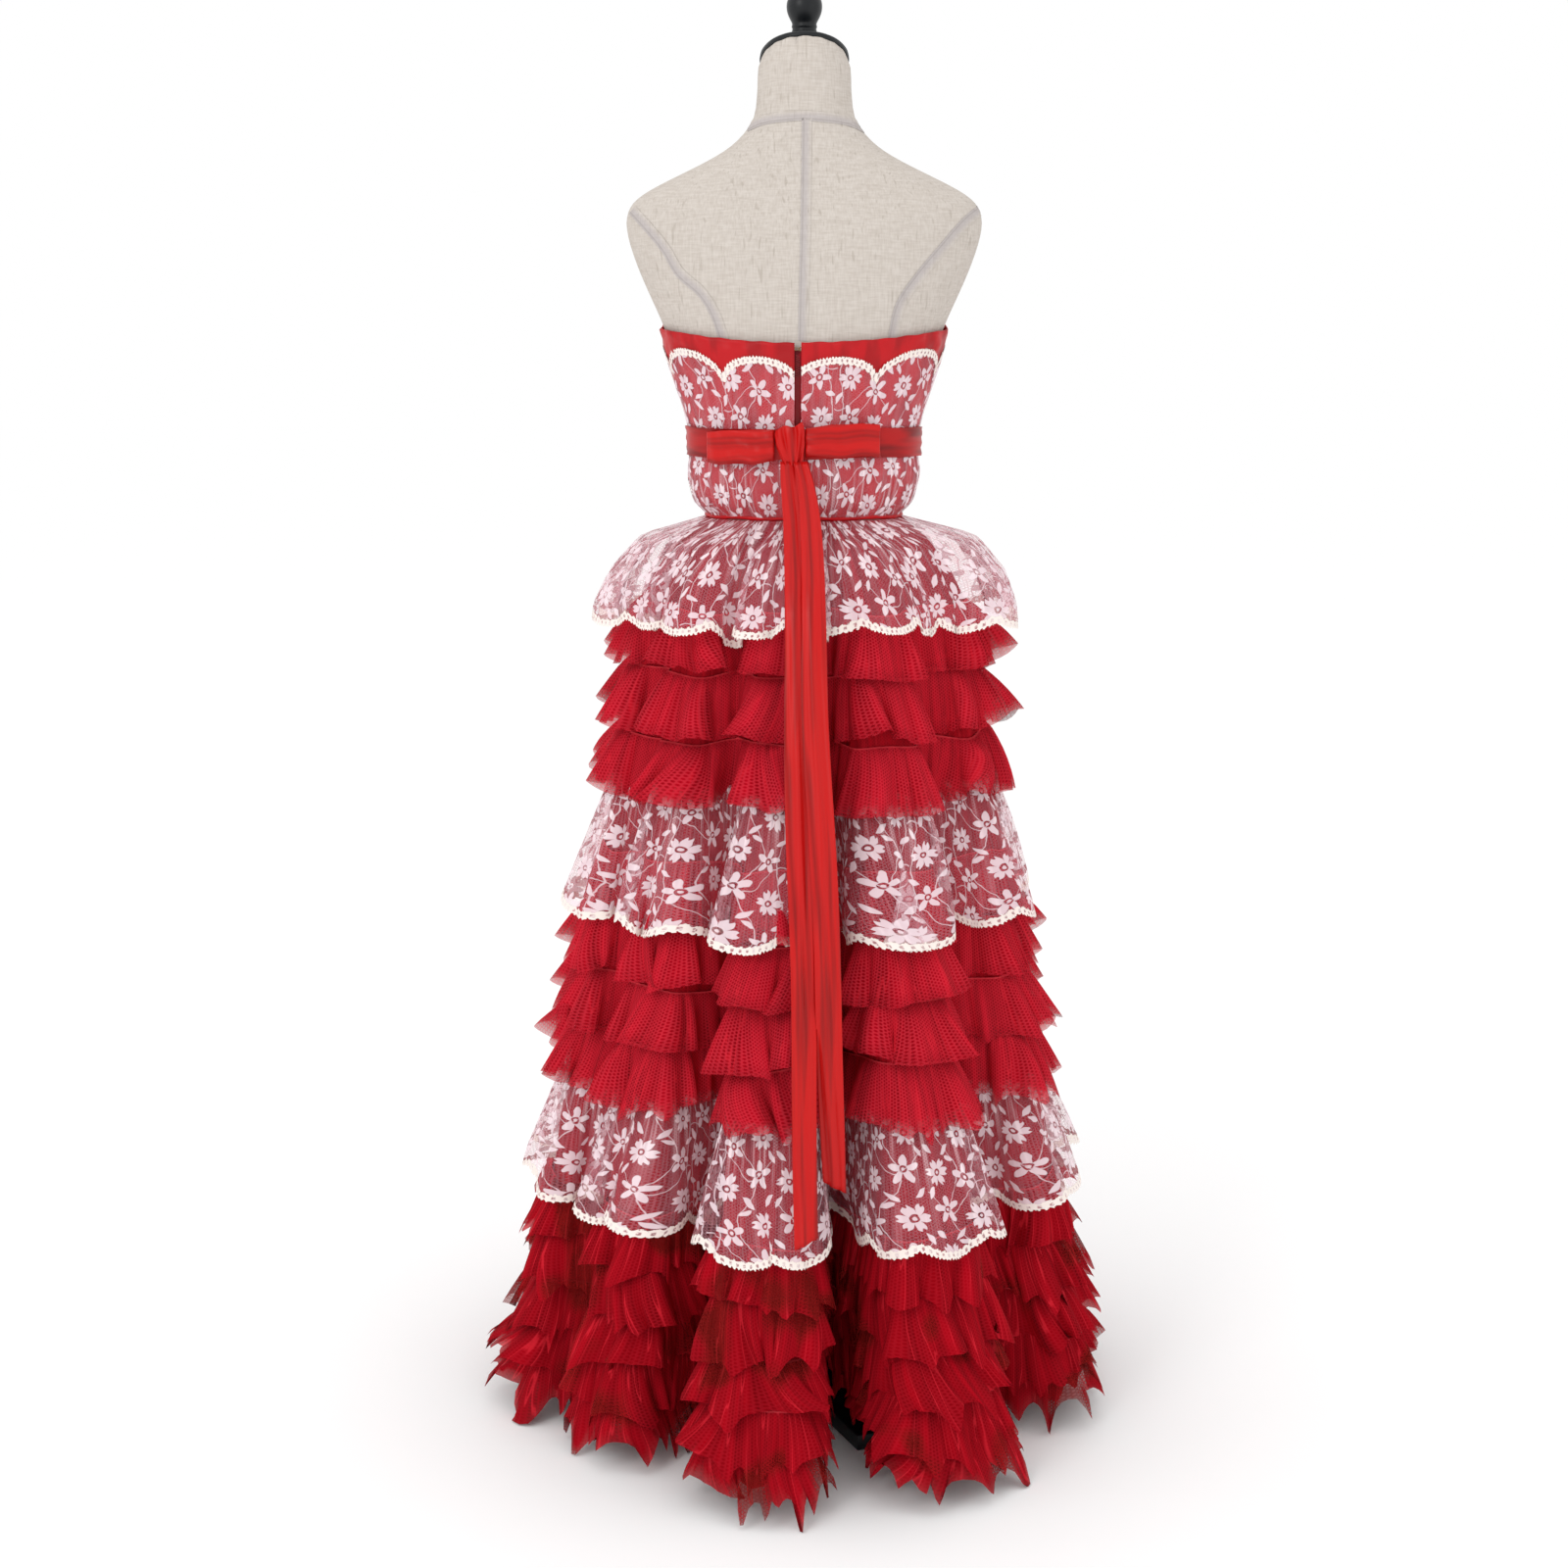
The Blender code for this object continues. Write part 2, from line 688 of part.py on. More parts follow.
def strip_slants(lines):
    """For each strip between two lines, the diagonal that lies on the inner side."""
    slants = []
    for j, line in enumerate(lines):
        after = lines[(j + 1) % len(lines)]
        hip = after["hip"] - line["hip"]
        change = (after["hem"] - line["hem"]) - hip
        slants.append(change.x * hip.y - change.y * hip.x > 0)
    return slants


def flat_point(line, z):
    if z >= HIP_Z:
        heights = [row["z"] for row in reversed(YOKE)]
        shares = [row["share"] for row in reversed(YOKE)]
        return line["waist"].lerp(line["hip"], float(np.interp(z, heights, shares)))
    return line["hip"].lerp(line["hem"], (HIP_Z - z) / (HIP_Z - HEM_Z))


def ring(lines, z, distance):
    """A level of the skirt. distance(line, number) is how far out of the base each point lies."""
    flats = [flat_point(line, z) for line in lines]
    made = []
    for j, line in enumerate(lines):
        before = (flats[j] - flats[j - 1]).normalized()
        after = (flats[(j + 1) % len(flats)] - flats[j]).normalized()
        along = (before + after).normalized()
        mitre = min(MITRE_LIMIT, 1 / max(0.1, along.dot(after)))
        out = distance(line, j) * mitre
        rise = line["lift"] * max(0.0, 1 - z / LIFT_BELOW) ** 2
        made.append(Vector((flats[j].x + along.y * out, flats[j].y - along.x * out, z + rise)))
    return made


def skirt_wall(name, lines, levels, thick, material, split=False, scalloped=False):
    """A tier. levels holds rows of height and distance function, low to high."""
    inner = [ring(lines, z, distance) for z, distance in levels]
    outer = [ring(lines, z, lambda line, j, d=distance: d(line, j) + thick) for z, distance in levels]
    slants = strip_slants(lines)
    if split:
        start = (LIFTED_TROUGH + 1) * (2 * len(FLANK) - 1)
        outer = [split_row(row, start) for row in outer]
        inner = [split_row(row, start) for row in inner]
        slants = slants[start:] + slants[:start]
    tips = None
    if scalloped:
        strips = len(outer[0]) - (1 if split else 0)
        tips = [(scallop_tip(outer, j), scallop_tip(inner, j)) for j in range(strips)]
    wall(name, outer, inner, material, not split, slants, tips)


def split_row(row, start):
    """A ring opened at one line, with a narrow gap to each side of it."""
    turned_row = row[start:] + row[:start]
    first = turned_row[0].lerp(turned_row[1], PEPLUM_SPLIT)
    last = turned_row[0].lerp(turned_row[-1], PEPLUM_SPLIT)
    return [first] + turned_row[1:] + [last]


def scallop_tip(rows, j):
    n = (j + 1) % len(rows[0])
    edge = (rows[0][j] + rows[0][n]) / 2
    above = (rows[1][j] + rows[1][n]) / 2
    return edge + (edge - above).normalized() * SCALLOP_DROP


def seam_only(line, number):
    return SEAM


def flared(flare, tier):
    def distance(line, number):
        sway = 1 + FLARE_SWAY * math.sin(SWAY_TIER_STEP * tier + SWAY_LINE_STEP * number)
        return SEAM + flare * line["open"] * sway

    return distance


def make_skirt(materials):
    lines = skirt_lines()
    heights = [HEM_Z] + sorted(list(BASE_LEVELS) + [row["z"] for row in YOKE])
    levels = [(z, lambda line, j: -NET_WALL) for z in heights]
    skirt_wall("skirt_base", lines, levels, NET_WALL, materials["red_net"])
    for tier, row in enumerate(NET_RUFFLES, 1):
        levels = [(row["edge"], flared(row["flare"], tier)), (row["seam"], seam_only)]
        name = f"tulle_ruffle_{tier:02d}"
        skirt_wall(name, lines, levels, NET_WALL, materials["red_net"])
    for tier, (name, rows) in enumerate(LACE_RUFFLES.items(), FIRST_LACE_TIER):
        levels = [(row["z"], flared(row["flare"], tier)) for row in reversed(rows)]
        skirt_wall(name, lines, levels, LACE_WALL, materials["white_lace"], scalloped=True)
    levels = [(row["z"], peplum_distance(row)) for row in reversed(PEPLUM)]
    skirt_wall("peplum", lines, levels, LACE_WALL, materials["white_lace"], True, True)
    return lines


def peplum_distance(row):
    def distance(line, number):
        sway = 1 + FLARE_SWAY * math.sin(SWAY_LINE_STEP * number)
        return SEAM + row["flare"] * line["open"] * sway + row["swing"] * line["swing"]

    return distance


def skirt_edges(lines):
    """The rings that stand furthest out, with the height of each."""
    edges = [(row["z"], ring(lines, row["z"], peplum_distance(row))) for row in PEPLUM]
    for tier, row in enumerate(NET_RUFFLES, 1):
        edges.append((row["edge"], ring(lines, row["edge"], flared(row["flare"], tier))))
    for tier, rows in enumerate(LACE_RUFFLES.values(), FIRST_LACE_TIER):
        for row in rows[1:]:
            edges.append((row["z"], ring(lines, row["z"], flared(row["flare"], tier))))
    return edges


def reach_at(row, spots):
    """How far back an edge comes at the furthest of some places along X."""
    furthest = 0.0
    for a, b in zip(row, row[1:] + row[:1]):
        for x in spots:
            if a.y > 0 and b.y > 0 and min(a.x, b.x) <= x <= max(a.x, b.x) and a.x != b.x:
                furthest = max(furthest, a.y + (b.y - a.y) * (x - a.x) / (b.x - a.x))
    return furthest


def hanging_path(start, low, touches):
    """Heights and depths of a ribbon that hangs over what it touches, from its start down."""
    path = []
    for z, y in [start] + sorted(touches, reverse=True):
        if y < start[1]:
            continue
        while len(path) > 1:
            (z0, y0), (z1, y1) = path[-2:]
            if (y1 - y0) * (z0 - z) > (y - y0) * (z0 - z1):
                break
            path.pop()
        path.append((z, y))
    furthest = max(y for z, y in path)
    path = path[: [y for z, y in path].index(furthest) + 1]
    return path + [(low, furthest)] if path[-1][0] > low else path


def make_streamers(materials, lines):
    """The ribbon's two ends hang from the knot over the ruffles, creased lengthwise."""
    edges = skirt_edges(lines)
    under = None
    for name, stations in STREAMERS.items():
        heights = [row["z"] for row in reversed(stations)]

        def spread(z, column):
            return float(np.interp(z, heights, [row[column] for row in reversed(stations)]))

        touches = []
        for z, row in edges:
            if z < heights[0] - STREAMER_END_REACH:
                continue
            x, half = spread(z, "across"), spread(z, "width") / 2
            spots = [x + half * share for share in STREAMER_SPOTS]
            reach = reach_at(row, spots) + STREAMER_CLEARANCE + NET_WALL
            touches.append((max(z, heights[0]), reach))
        top = heights[-1]
        start = (top, bow_point(spread(top, "across"), top, STREAMER_START).y)
        if under:
            start = (top, start[1] + STREAMER_LAYER)
            for z in np.linspace(top, STREAMERS_PART, STREAMER_STEPS * 2)[1:]:
                depth = np.interp(z, [z for z, y in reversed(under)], [y for z, y in reversed(under)])
                touches.append((float(z), float(depth) + STREAMER_LAYER))
        path = hanging_path(start, heights[0], touches)
        under = path
        outer = []
        depths = [y for z, y in reversed(path)]
        levels = [z for z, y in reversed(path)]
        steps = sorted(levels + list(np.linspace(heights[0], top, STREAMER_STEPS + 1)[1:-1]))
        for z in steps:
            if outer and z - outer[-1][1].z < STREAMER_STEP_LEAST:
                continue
            x, half = spread(z, "across"), spread(z, "width") / 2
            y = float(np.interp(z, levels, depths))
            left = Vector((x + half, y, z))
            right = Vector((x - half, y, z))
            outer.append([left, Vector((x, y + STREAMER_CREASE, z)), right])
        outer[0][0].z -= STREAMER_SLANT
        inner = [[p - Vector((0, RIBBON_WALL, 0)) for p in row] for row in outer]
        wall(name, outer, inner, materials["red_ribbon"], False)


def main():
    clear_scene()
    materials = make_materials()
    make_stand(materials)
    make_form(materials)
    make_bodice(materials)
    make_zip(materials)
    make_band(materials)
    make_bow(materials)
    make_piping(materials)
    lines = make_skirt(materials)
    make_streamers(materials, lines)


main()
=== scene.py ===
import functools
import math
import time

import bpy
import numpy as np
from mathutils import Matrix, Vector
from mathutils.bvhtree import BVHTree


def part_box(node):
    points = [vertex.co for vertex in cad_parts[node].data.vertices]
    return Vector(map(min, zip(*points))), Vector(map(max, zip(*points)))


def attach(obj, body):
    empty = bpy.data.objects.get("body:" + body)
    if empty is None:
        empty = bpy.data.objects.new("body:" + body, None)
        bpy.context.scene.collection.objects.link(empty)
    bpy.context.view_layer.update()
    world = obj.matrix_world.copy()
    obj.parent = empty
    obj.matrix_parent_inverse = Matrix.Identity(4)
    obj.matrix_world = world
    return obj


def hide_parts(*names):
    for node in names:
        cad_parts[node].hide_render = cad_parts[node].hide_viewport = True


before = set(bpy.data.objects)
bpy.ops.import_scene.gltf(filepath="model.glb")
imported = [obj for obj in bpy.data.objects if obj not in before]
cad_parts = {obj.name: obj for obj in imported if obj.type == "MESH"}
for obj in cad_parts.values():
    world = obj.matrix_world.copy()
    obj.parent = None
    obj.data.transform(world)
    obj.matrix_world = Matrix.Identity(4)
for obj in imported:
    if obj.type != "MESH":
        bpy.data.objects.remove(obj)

startTime = time.time()
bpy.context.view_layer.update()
mm = 0.001


def stage(text):
    print(f"{time.time() - startTime:6.1f} s  {text}")


def deselectAll():
    for thing in bpy.context.selected_objects:
        thing.select_set(False)


def pick(thing):
    deselectAll()
    thing.select_set(True)
    bpy.context.view_layer.objects.active = thing


def placed(name, data):
    thing = bpy.data.objects.new(name, data)
    bpy.context.scene.collection.objects.link(thing)
    return thing


def linear(code):
    values = [int(code[i:i + 2], 16) / 255 for i in (1, 3, 5)]
    return [v / 12.92 if v <= 0.04045 else ((v + 0.055) / 1.055) ** 2.4 for v in values] + [1.0]


# Camera, light and floor

camera = {"place": (0.0215, 2.6, 1.174), "pitch": 10.52, "lens": 54.54}
lights = (
    # name, place, aimed at, size, watts
    ("key", (2.0, 2.9, 2.7), (0.0, 0.1, 0.75), 1.4, 27),
    ("fill", (-2.6, 2.2, 1.3), (0.0, 0.0, 0.6), 2.2, 4),
    ("top", (0.0, 0.4, 3.6), (0.0, 0.0, 0.8), 1.6, 6),
)


def makeStage():
    scene = bpy.context.scene
    data = bpy.data.cameras.new("camera")
    data.lens = camera["lens"]
    data.clip_start = 0.05
    thing = placed("camera", data)
    thing.location = camera["place"]
    thing.rotation_euler = (math.radians(90 - camera["pitch"]), 0, math.radians(180))
    scene.camera = thing
    scene.view_settings.view_transform = "Standard"
    for name, place, aim, size, watts in lights:
        lamp = bpy.data.lights.new(name, "AREA")
        lamp.size = size
        lamp.energy = watts
        lampObject = placed(name, lamp)
        lampObject.location = place
        way = Vector(aim) - Vector(place)
        lampObject.rotation_euler = way.to_track_quat("-Z", "Y").to_euler()
    world = bpy.data.worlds.new("studio")
    scene.world = world
    world.use_nodes = True
    sky = world.node_tree.nodes["Background"].inputs
    sky["Color"].default_value = linear("#FFFFFF")
    sky["Strength"].default_value = 1.0
    deselectAll()
    bpy.ops.mesh.primitive_plane_add(size=60, location=(0, 0, 0))
    floor = bpy.context.object
    floor.name = "studio_floor"
    floor.data.materials.append(plainMaterial("pale_floor", "#FFFFFF", 1.0, Specular_IOR_Level=0.0))


# Materials

# "Math ADD" is a Math node that adds; a MapRange takes its value, low and high, and gives a share from 0 to 1
def addNode(tree, kind, *inputs, **named):
    kind, _, operation = kind.partition(" ")
    node = tree.nodes.new("ShaderNode" + kind)
    if operation:
        node.operation = operation
    for key, value in [*enumerate(inputs), *named.items()]:
        if isinstance(key, str) and hasattr(node, key):
            setattr(node, key, value)
        elif isinstance(value, bpy.types.NodeSocket):
            tree.links.new(value, node.inputs[key])
        else:
            node.inputs[key].default_value = value
    return node.outputs[0]


def plainMaterial(name, colour, rough, **values):
    material = bpy.data.materials.new(name)
    material.use_nodes = True
    shader = material.node_tree.nodes["Principled BSDF"]
    shader.inputs["Base Color"].default_value = linear(colour)
    shader.inputs["Roughness"].default_value = rough
    for key, value in values.items():
        shader.inputs[key.replace("_", " ")].default_value = value
    return material


# a material for cloth, and what adds a node to it
def startCloth(name, colour, rough, gloss):
    material = plainMaterial(name, colour, rough, Specular_IOR_Level=gloss)
    return material, functools.partial(addNode, material.node_tree)


# bumps of the given depth, and the worked-out colour and cover, go to the shader
def finishCloth(material, add, height, strength, depth, tone, solid=None):
    bump = add("Bump", Strength=strength, Distance=depth, Height=height)
    shader = material.node_tree.nodes["Principled BSDF"]
    for key, value in (("Base Color", tone), ("Alpha", solid), ("Normal", bump)):
        if value is not None:
            material.node_tree.links.new(value, shader.inputs[key])
    return material


# noise with so many waves to the metre each way
def waves(add, place, counts, detail):
    return add("TexNoise", add("VectorMath MULTIPLY", place, counts), Scale=1.0, Detail=detail)


# how far a value lies from another
def distance(add, value, other):
    return add("Math ABSOLUTE", add("Math SUBTRACT", value, other))


# another colour mixed in, by a share of the given strength
def tint(add, tone, share, strength, colour):
    return add("MixRGB", add("Math MULTIPLY", share, strength), tone, linear(colour))


# net with round holes: three waves 60 degrees apart, with cells of the given pitch
def netPattern(add, u, v, pitch):
    turn = 2 * math.pi / pitch
    across = add("Math MULTIPLY", u, turn)
    half = add("Math MULTIPLY", across, 0.5)
    up = add("Math MULTIPLY", v, turn * 0.866)
    second = add("Math COSINE", add("Math ADD", half, up))
    third = add("Math COSINE", add("Math SUBTRACT", half, up))
    return add("Math ADD", add("Math COSINE", across), add("Math ADD", second, third))


def makeTulle(name, main, dark, light, cover, windows, soft):
    material, add = startCloth(name, main, 0.9, 0.03)
    place = add("UVMap", uv_map="Cloth")
    u, v, _ = add("SeparateXYZ", place).node.outputs
    # the gathered net hangs from the seam in soft streaks, painted shade darker between them, with a few thin
    # bright folds as painted highlight among them
    wide = waves(add, place, (120, 6, 1), 3.0)
    shade = add("MapRange", wide, 0.30, 0.68)
    ridge = add("MapRange", distance(add, waves(add, place, (75, 5, 1), 2.0), 0.5), 0.014, 0.004)
    # real holes are about 1 mm; they are drawn at 2.9 mm so that the net shows at all
    thread = add("MapRange", netPattern(add, u, v, 2.9 * mm), 1.5, -0.9)
    # painted shade: the dark colour lies in the streaks between lighter ones
    tone = add("MixRGB", shade, linear(dark), linear(main))
    tone = tint(add, tone, thread, 0.24 if windows else 0.40, light)
    # painted highlight: thin bright lines along some folds
    tone = tint(add, tone, ridge, 0.50 if windows else 0.30, "#DE2A38")
    # the sewn line at the top of a ruffle, a bright thread
    stitch = add("MapRange", v, 2.6 * mm, 1.4 * mm)
    tone = tint(add, tone, stitch, 0.7, "#E0404A")
    solid = add("Math MULTIPLY_ADD", shade, 0.14, add("Math MULTIPLY_ADD", thread, 0.14, cover))
    if windows:
        # patches where only one layer hangs: the net is thinner there, and tinted brown as painted shade of
        # the dark inside that shows through
        thinPatchShade = add("TexNoise", add("TexCoord").node.outputs["Object"], Scale=14.0, Detail=1.0)
        thinPatchShade = add("MapRange", thinPatchShade, 0.56, 0.66)
        tone = tint(add, tone, thinPatchShade, 0.62, "#641A12")
        solid = add("Math MULTIPLY_ADD", thinPatchShade, -windows, solid)
    solid = add("MapRange", add("Math MULTIPLY_ADD", ridge, 0.4, solid), 0.0, 0.88)
    if soft:
        # cut net thins out towards its raw edge
        deep = add("SeparateXYZ", add("UVMap", uv_map="Edge")).node.outputs[1]
        fade = add("MapRange", deep, -1.0 * mm, 14.0 * mm)
        solid = add("Math MULTIPLY", solid, add("Math MULTIPLY_ADD", fade, soft, 1 - soft))
    solid = add("Math ADD", solid, stitch, use_clamp=True)
    return finishCloth(material, add, wide, 0.34, 0.0016, tone, solid)


# Lace motifs in millimetres in one cell, drawn afresh for this piece
laceCell = {"width": 68.0, "height": 82.0}
laceFlowers = (
    # x, y, turn, reach, half the number of petals, how pointed, depth of the notches
    (-18.5, 23.5, 0.3, 14.2, 3.0, 0.55, 0.22),
    (14.5, 9.5, 0.8, 14.6, 2.5, 1.70, 0.0),
    (-14.0, -16.5, 1.3, 13.2, 2.5, 1.50, 0.0),
    (18.5, -27.0, 0.1, 14.0, 3.0, 0.55, 0.22),
)
laceLeaves = (
    # x, y, turn, half length, half width
    (3.5, 35.5, 0.6, 8.2, 2.9),
    (27.0, 32.0, -0.8, 7.4, 2.7),
    (-29.0, 2.0, 1.0, 7.4, 2.7),
    (0.0, -37.5, -0.5, 7.0, 2.5),
    (-28.5, -34.0, 0.4, 7.4, 2.7),
    (30.0, -8.0, 1.1, 6.8, 2.5),
)
laceVines = (
    # runs across, middle, swing, phase
    (False, 2.0, 10.0, 0.4),
    (False, -27.5, 4.0, 2.2),
    (True, 2.0, 12.0, 1.0),
)


# a place folded back into one cell, measured from the cell's middle
def inCell(add, value, size):
    share = add("Math FRACT", add("Math DIVIDE", value, size))
    return add("Math MULTIPLY", add("Math SUBTRACT", share, 0.5), size)


def laceFlower(add, spot, x, y, turn, reach, petals, pointed, notch):
    away = add("VectorMath SUBTRACT", spot, (x, y, 0))
    across, up, _ = add("SeparateXYZ", away).node.outputs
    radius = add("VectorMath LENGTH", away).node.outputs["Value"]
    wave = add("Math MULTIPLY_ADD", add("Math ARCTAN2", up, across), petals, turn)
    share = add("Math ABSOLUTE", add("Math COSINE", wave))
    petal = add("Math MULTIPLY_ADD", add("Math POWER", share, pointed), reach * 0.70, reach * 0.30)
    if notch:
        petal = add("Math MULTIPLY_ADD", add("MapRange", share, 0.93, 1.0), -notch * reach, petal)
    inside = add("MapRange", add("Math SUBTRACT", petal, radius), -0.35, 0.45)
    eye = add("MapRange", distance(add, radius, 2.6), 0.6, 1.1)
    return add("Math MULTIPLY", inside, eye)


def laceLeaf(add, spot, x, y, turn, long, wide):
    placing = {"Location": (x, y, 0), "Rotation": (0, 0, turn), "Scale": (long, wide, 1)}
    turned = add("Mapping", spot, vector_type="TEXTURE", **placing)
    along, across, _ = add("SeparateXYZ", turned).node.outputs
    along = add("Math MULTIPLY", along, along)
    return add("MapRange", add("Math ADD", along, add("Math ABSOLUTE", across)), 1.08, 0.92)


def lacePattern(add, place):
    inMm = add("VectorMath MULTIPLY", place, (1000, 1000, 0))
    wander = add("TexNoise", inMm, Scale=0.06, Detail=2.0).node.outputs["Color"]
    offset = add("VectorMath MULTIPLY", add("VectorMath SUBTRACT", wander, (0.5, 0.5, 0.5)), (8, 8, 0))
    u, v, _ = add("SeparateXYZ", add("VectorMath ADD", inMm, offset)).node.outputs
    width, height = laceCell["width"], laceCell["height"]
    column = add("Math FLOOR", add("Math DIVIDE", u, width))
    parity = add("Math MODULO", add("Math ADD", column, 100.0), 2.0)
    # every second column hangs half a repeat lower and is turned over
    x = add("Math MULTIPLY", inCell(add, u, width), add("Math MULTIPLY_ADD", parity, -2.0, 1.0))
    y = inCell(add, add("Math MULTIPLY_ADD", parity, height / 2, v), height)
    spot = add("CombineXYZ", x, y, 0.0)
    shapes = [laceFlower(add, spot, *row) for row in laceFlowers]
    shapes += [laceLeaf(add, spot, *row) for row in laceLeaves]
    # each vine meets itself in the next cell
    for runsAcross, middle, swing, phase in laceVines:
        along, off, length = (x, y, width) if runsAcross else (y, x, height)
        wave = add("Math SINE", add("Math MULTIPLY_ADD", along, 2 * math.pi / length, phase))
        off = distance(add, off, add("Math MULTIPLY_ADD", wave, swing, middle))
        shapes.append(add("Math MULTIPLY", add("MapRange", off, 0.95, 0.35), 0.85))
    return functools.reduce(lambda cloth, shape: add("Math MAXIMUM", cloth, shape), shapes)


def makeLace(name, cover, foldCoverAndSheenStrength):
    material, add = startCloth(name, "#EFE2E2", 0.9, 0.05)
    place = add("UVMap", uv_map="Cloth")
    u, v, _ = add("SeparateXYZ", place).node.outputs
    motif = lacePattern(add, place)
    # real holes are under 1 mm; they are drawn at 2.6 mm so that the net shows at all
    net = add("MapRange", netPattern(add, u, v, 2.6 * mm), 1.2, -0.8)
    tone = add("MixRGB", motif, linear("#E09AA6"), linear("#EFDAE0"))
    # the lace drawn close under the seam is whiter: partly its stacked folds cover more, partly painted
    # highlight on those folds
    foldCoverAndSheen = add("MapRange", waves(add, place, (150, 6, 1), 2.0), 0.50, 0.66)
    nearSeam = add("Math MULTIPLY_ADD", add("MapRange", v, 75 * mm, 4 * mm), 0.8, 0.2)
    foldCoverAndSheen = add("Math MULTIPLY", add("Math MULTIPLY", foldCoverAndSheen, foldCoverAndSheenStrength), nearSeam)
    tone = tint(add, tone, foldCoverAndSheen, 1.0, "#F6ECEA")
    veil = add("Math MULTIPLY_ADD", net, 0.20, cover)
    solid = add("Math MAXIMUM", veil, add("Math MULTIPLY", motif, 0.80))
    solid = add("Math ADD", solid, foldCoverAndSheen, use_clamp=True)
    run, deep, _ = add("SeparateXYZ", add("UVMap", uv_map="Edge")).node.outputs
    # the cotton of the border is fuzzy, so its edges wander by a millimetre
    fuzz = waves(add, place, (520, 520, 1), 1.0)
    deep = add("Math ADD", deep, add("Math MULTIPLY_ADD", fuzz, 4.4 * mm, -2.2 * mm))
    # the inner side of the band is toothed, and eyelets run along its middle
    tooth = add("Math PINGPONG", add("Math MULTIPLY", run, 1 / (3.2 * mm)), 1.0)
    reach = add("Math MULTIPLY_ADD", tooth, 1.8 * mm, 7.4 * mm)
    band = add("MapRange", add("Math SUBTRACT", reach, deep), -0.3 * mm, 0.3 * mm)
    dot = add("MapRange", add("Math COSINE", add("Math MULTIPLY", run, 2 * math.pi / (5.5 * mm))), 0.2, 0.7)
    row = add("MapRange", distance(add, deep, 4.6 * mm), 1.7 * mm, 0.9 * mm)
    # some eyelets are half closed by the fuzz
    eyelet = add("Math MULTIPLY", add("Math MULTIPLY", dot, row), add("MapRange", fuzz, 0.30, 0.50))
    band = add("Math MULTIPLY_ADD", eyelet, -0.6, band, use_clamp=True)
    solid = add("Math MAXIMUM", solid, band)
    tone = tint(add, tone, band, 1.0, "#F1E6DF")
    # the outer side is picot: small loops with gaps between them
    loop = add("Math PINGPONG", add("Math MULTIPLY", run, 1 / (1.7 * mm)), 1.0)
    cut = add("MapRange", add("Math MULTIPLY_ADD", loop, -1.7 * mm, deep), 0.0, 0.4 * mm)
    height = add("Math MAXIMUM", add("Math MULTIPLY", band, 1.6), motif)
    return finishCloth(material, add, height, 0.8, 0.0007, tone, add("Math MULTIPLY", solid, cut))


def makeSatin(name, main, deep, creases, rough, depth):
    material, add = startCloth(name, main, rough, 0.25)
    place = add("UVMap", uv_map="Cloth")
    crease = waves(add, place, (*creases, 1), 2.0)
    # painted shade: the deeper colour fills the creases
    tone = add("MixRGB", add("MapRange", crease, 0.37, 0.52), linear(deep), linear(main))
    # the weave is drawn at 1.6 mm; real floats are finer than a pixel
    height = add("Math MULTIPLY_ADD", waves(add, place, (1250, 620, 1), 0.0), 0.06, crease)
    return finishCloth(material, add, height, 0.6, depth, tone)


def makeLinen(name, seam):
    material, add = startCloth(name, "#C9C1B6", 0.95, 0.1)
    place = add("TexCoord").node.outputs["Object"]
    # threads along and across, drawn at about 2 mm by 14 mm so that they show, and rarer dark slubs
    weave = add("Math ADD", waves(add, place, (70, 70, 560), 1.0), waves(add, place, (560, 560, 70), 1.0))
    tone = add("MixRGB", add("MapRange", weave, 0.70, 1.30), linear("#BEB5AC"), linear("#CCC4BC"))
    slub = add("MapRange", waves(add, place, (330, 330, 34), 0.0), 0.70, 0.78)
    tone = tint(add, tone, slub, 0.35, "#9A9084")
    if seam:
        # painted shade at a pressed seam: a greyer band over the two layers, and a darker sewn line where it
        # sinks between them
        off = add("SeparateXYZ", add("UVMap", uv_map="Cloth")).node.outputs[1]
        off = add("Math ABSOLUTE", off)
        tone = tint(add, tone, add("MapRange", off, 8.4 * mm, 3.0 * mm), 0.42, "#A39DA4")
        tone = tint(add, tone, add("MapRange", off, 1.1 * mm, 0.3 * mm), 0.35, "#8C8480")
    return finishCloth(material, add, weave, 0.35, 0.0005, tone)


# Shapes

def makeSheet(name, points, material, closed=False, **maps):
    rows, columns = points.shape[:2]
    strips = columns if closed else columns - 1
    r, c = np.mgrid[0:rows - 1, 0:strips]
    after = (c + 1) % columns
    corners = (r * columns + c, (r + 1) * columns + c, (r + 1) * columns + after, r * columns + after)
    quads = np.stack(corners, -1).reshape(-1, 4)
    mesh = bpy.data.meshes.new(name)
    mesh.from_pydata(points.reshape(-1, 3).tolist(), [], quads.tolist())
    for layerName, flat in maps.items():
        layer = mesh.uv_layers.new(name=layerName)
        at = np.stack((flat[r, c], flat[r + 1, c], flat[r + 1, c + 1], flat[r, c + 1]), 2)
        layer.data.foreach_set("uv", at.reshape(-1).astype(np.float32))
    mesh.materials.append(material)
    mesh.shade_smooth()
    return placed(name, mesh)


def applied(thing, kind, **settings):
    pick(thing)
    modifier = thing.modifiers.new("shape", kind)
    for key, value in settings.items():
        setattr(modifier, key, value)
    bpy.ops.object.modifier_apply(modifier=modifier.name)


def mode(name):
    bpy.ops.object.mode_set(mode=name)


def areaOf(thing):
    return sum(face.area for face in thing.data.polygons)


# the length along a row of points, from the first to each
def runAlong(points):
    return np.concatenate(([0], np.cumsum(np.linalg.norm(np.diff(points, axis=0), axis=1))))


def together(*values):
    return np.stack(np.broadcast_arrays(*values), -1)


def declare(thing, slot, *nodes, **cloth):
    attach(thing, "root")
    if nodes:
        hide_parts(*nodes)


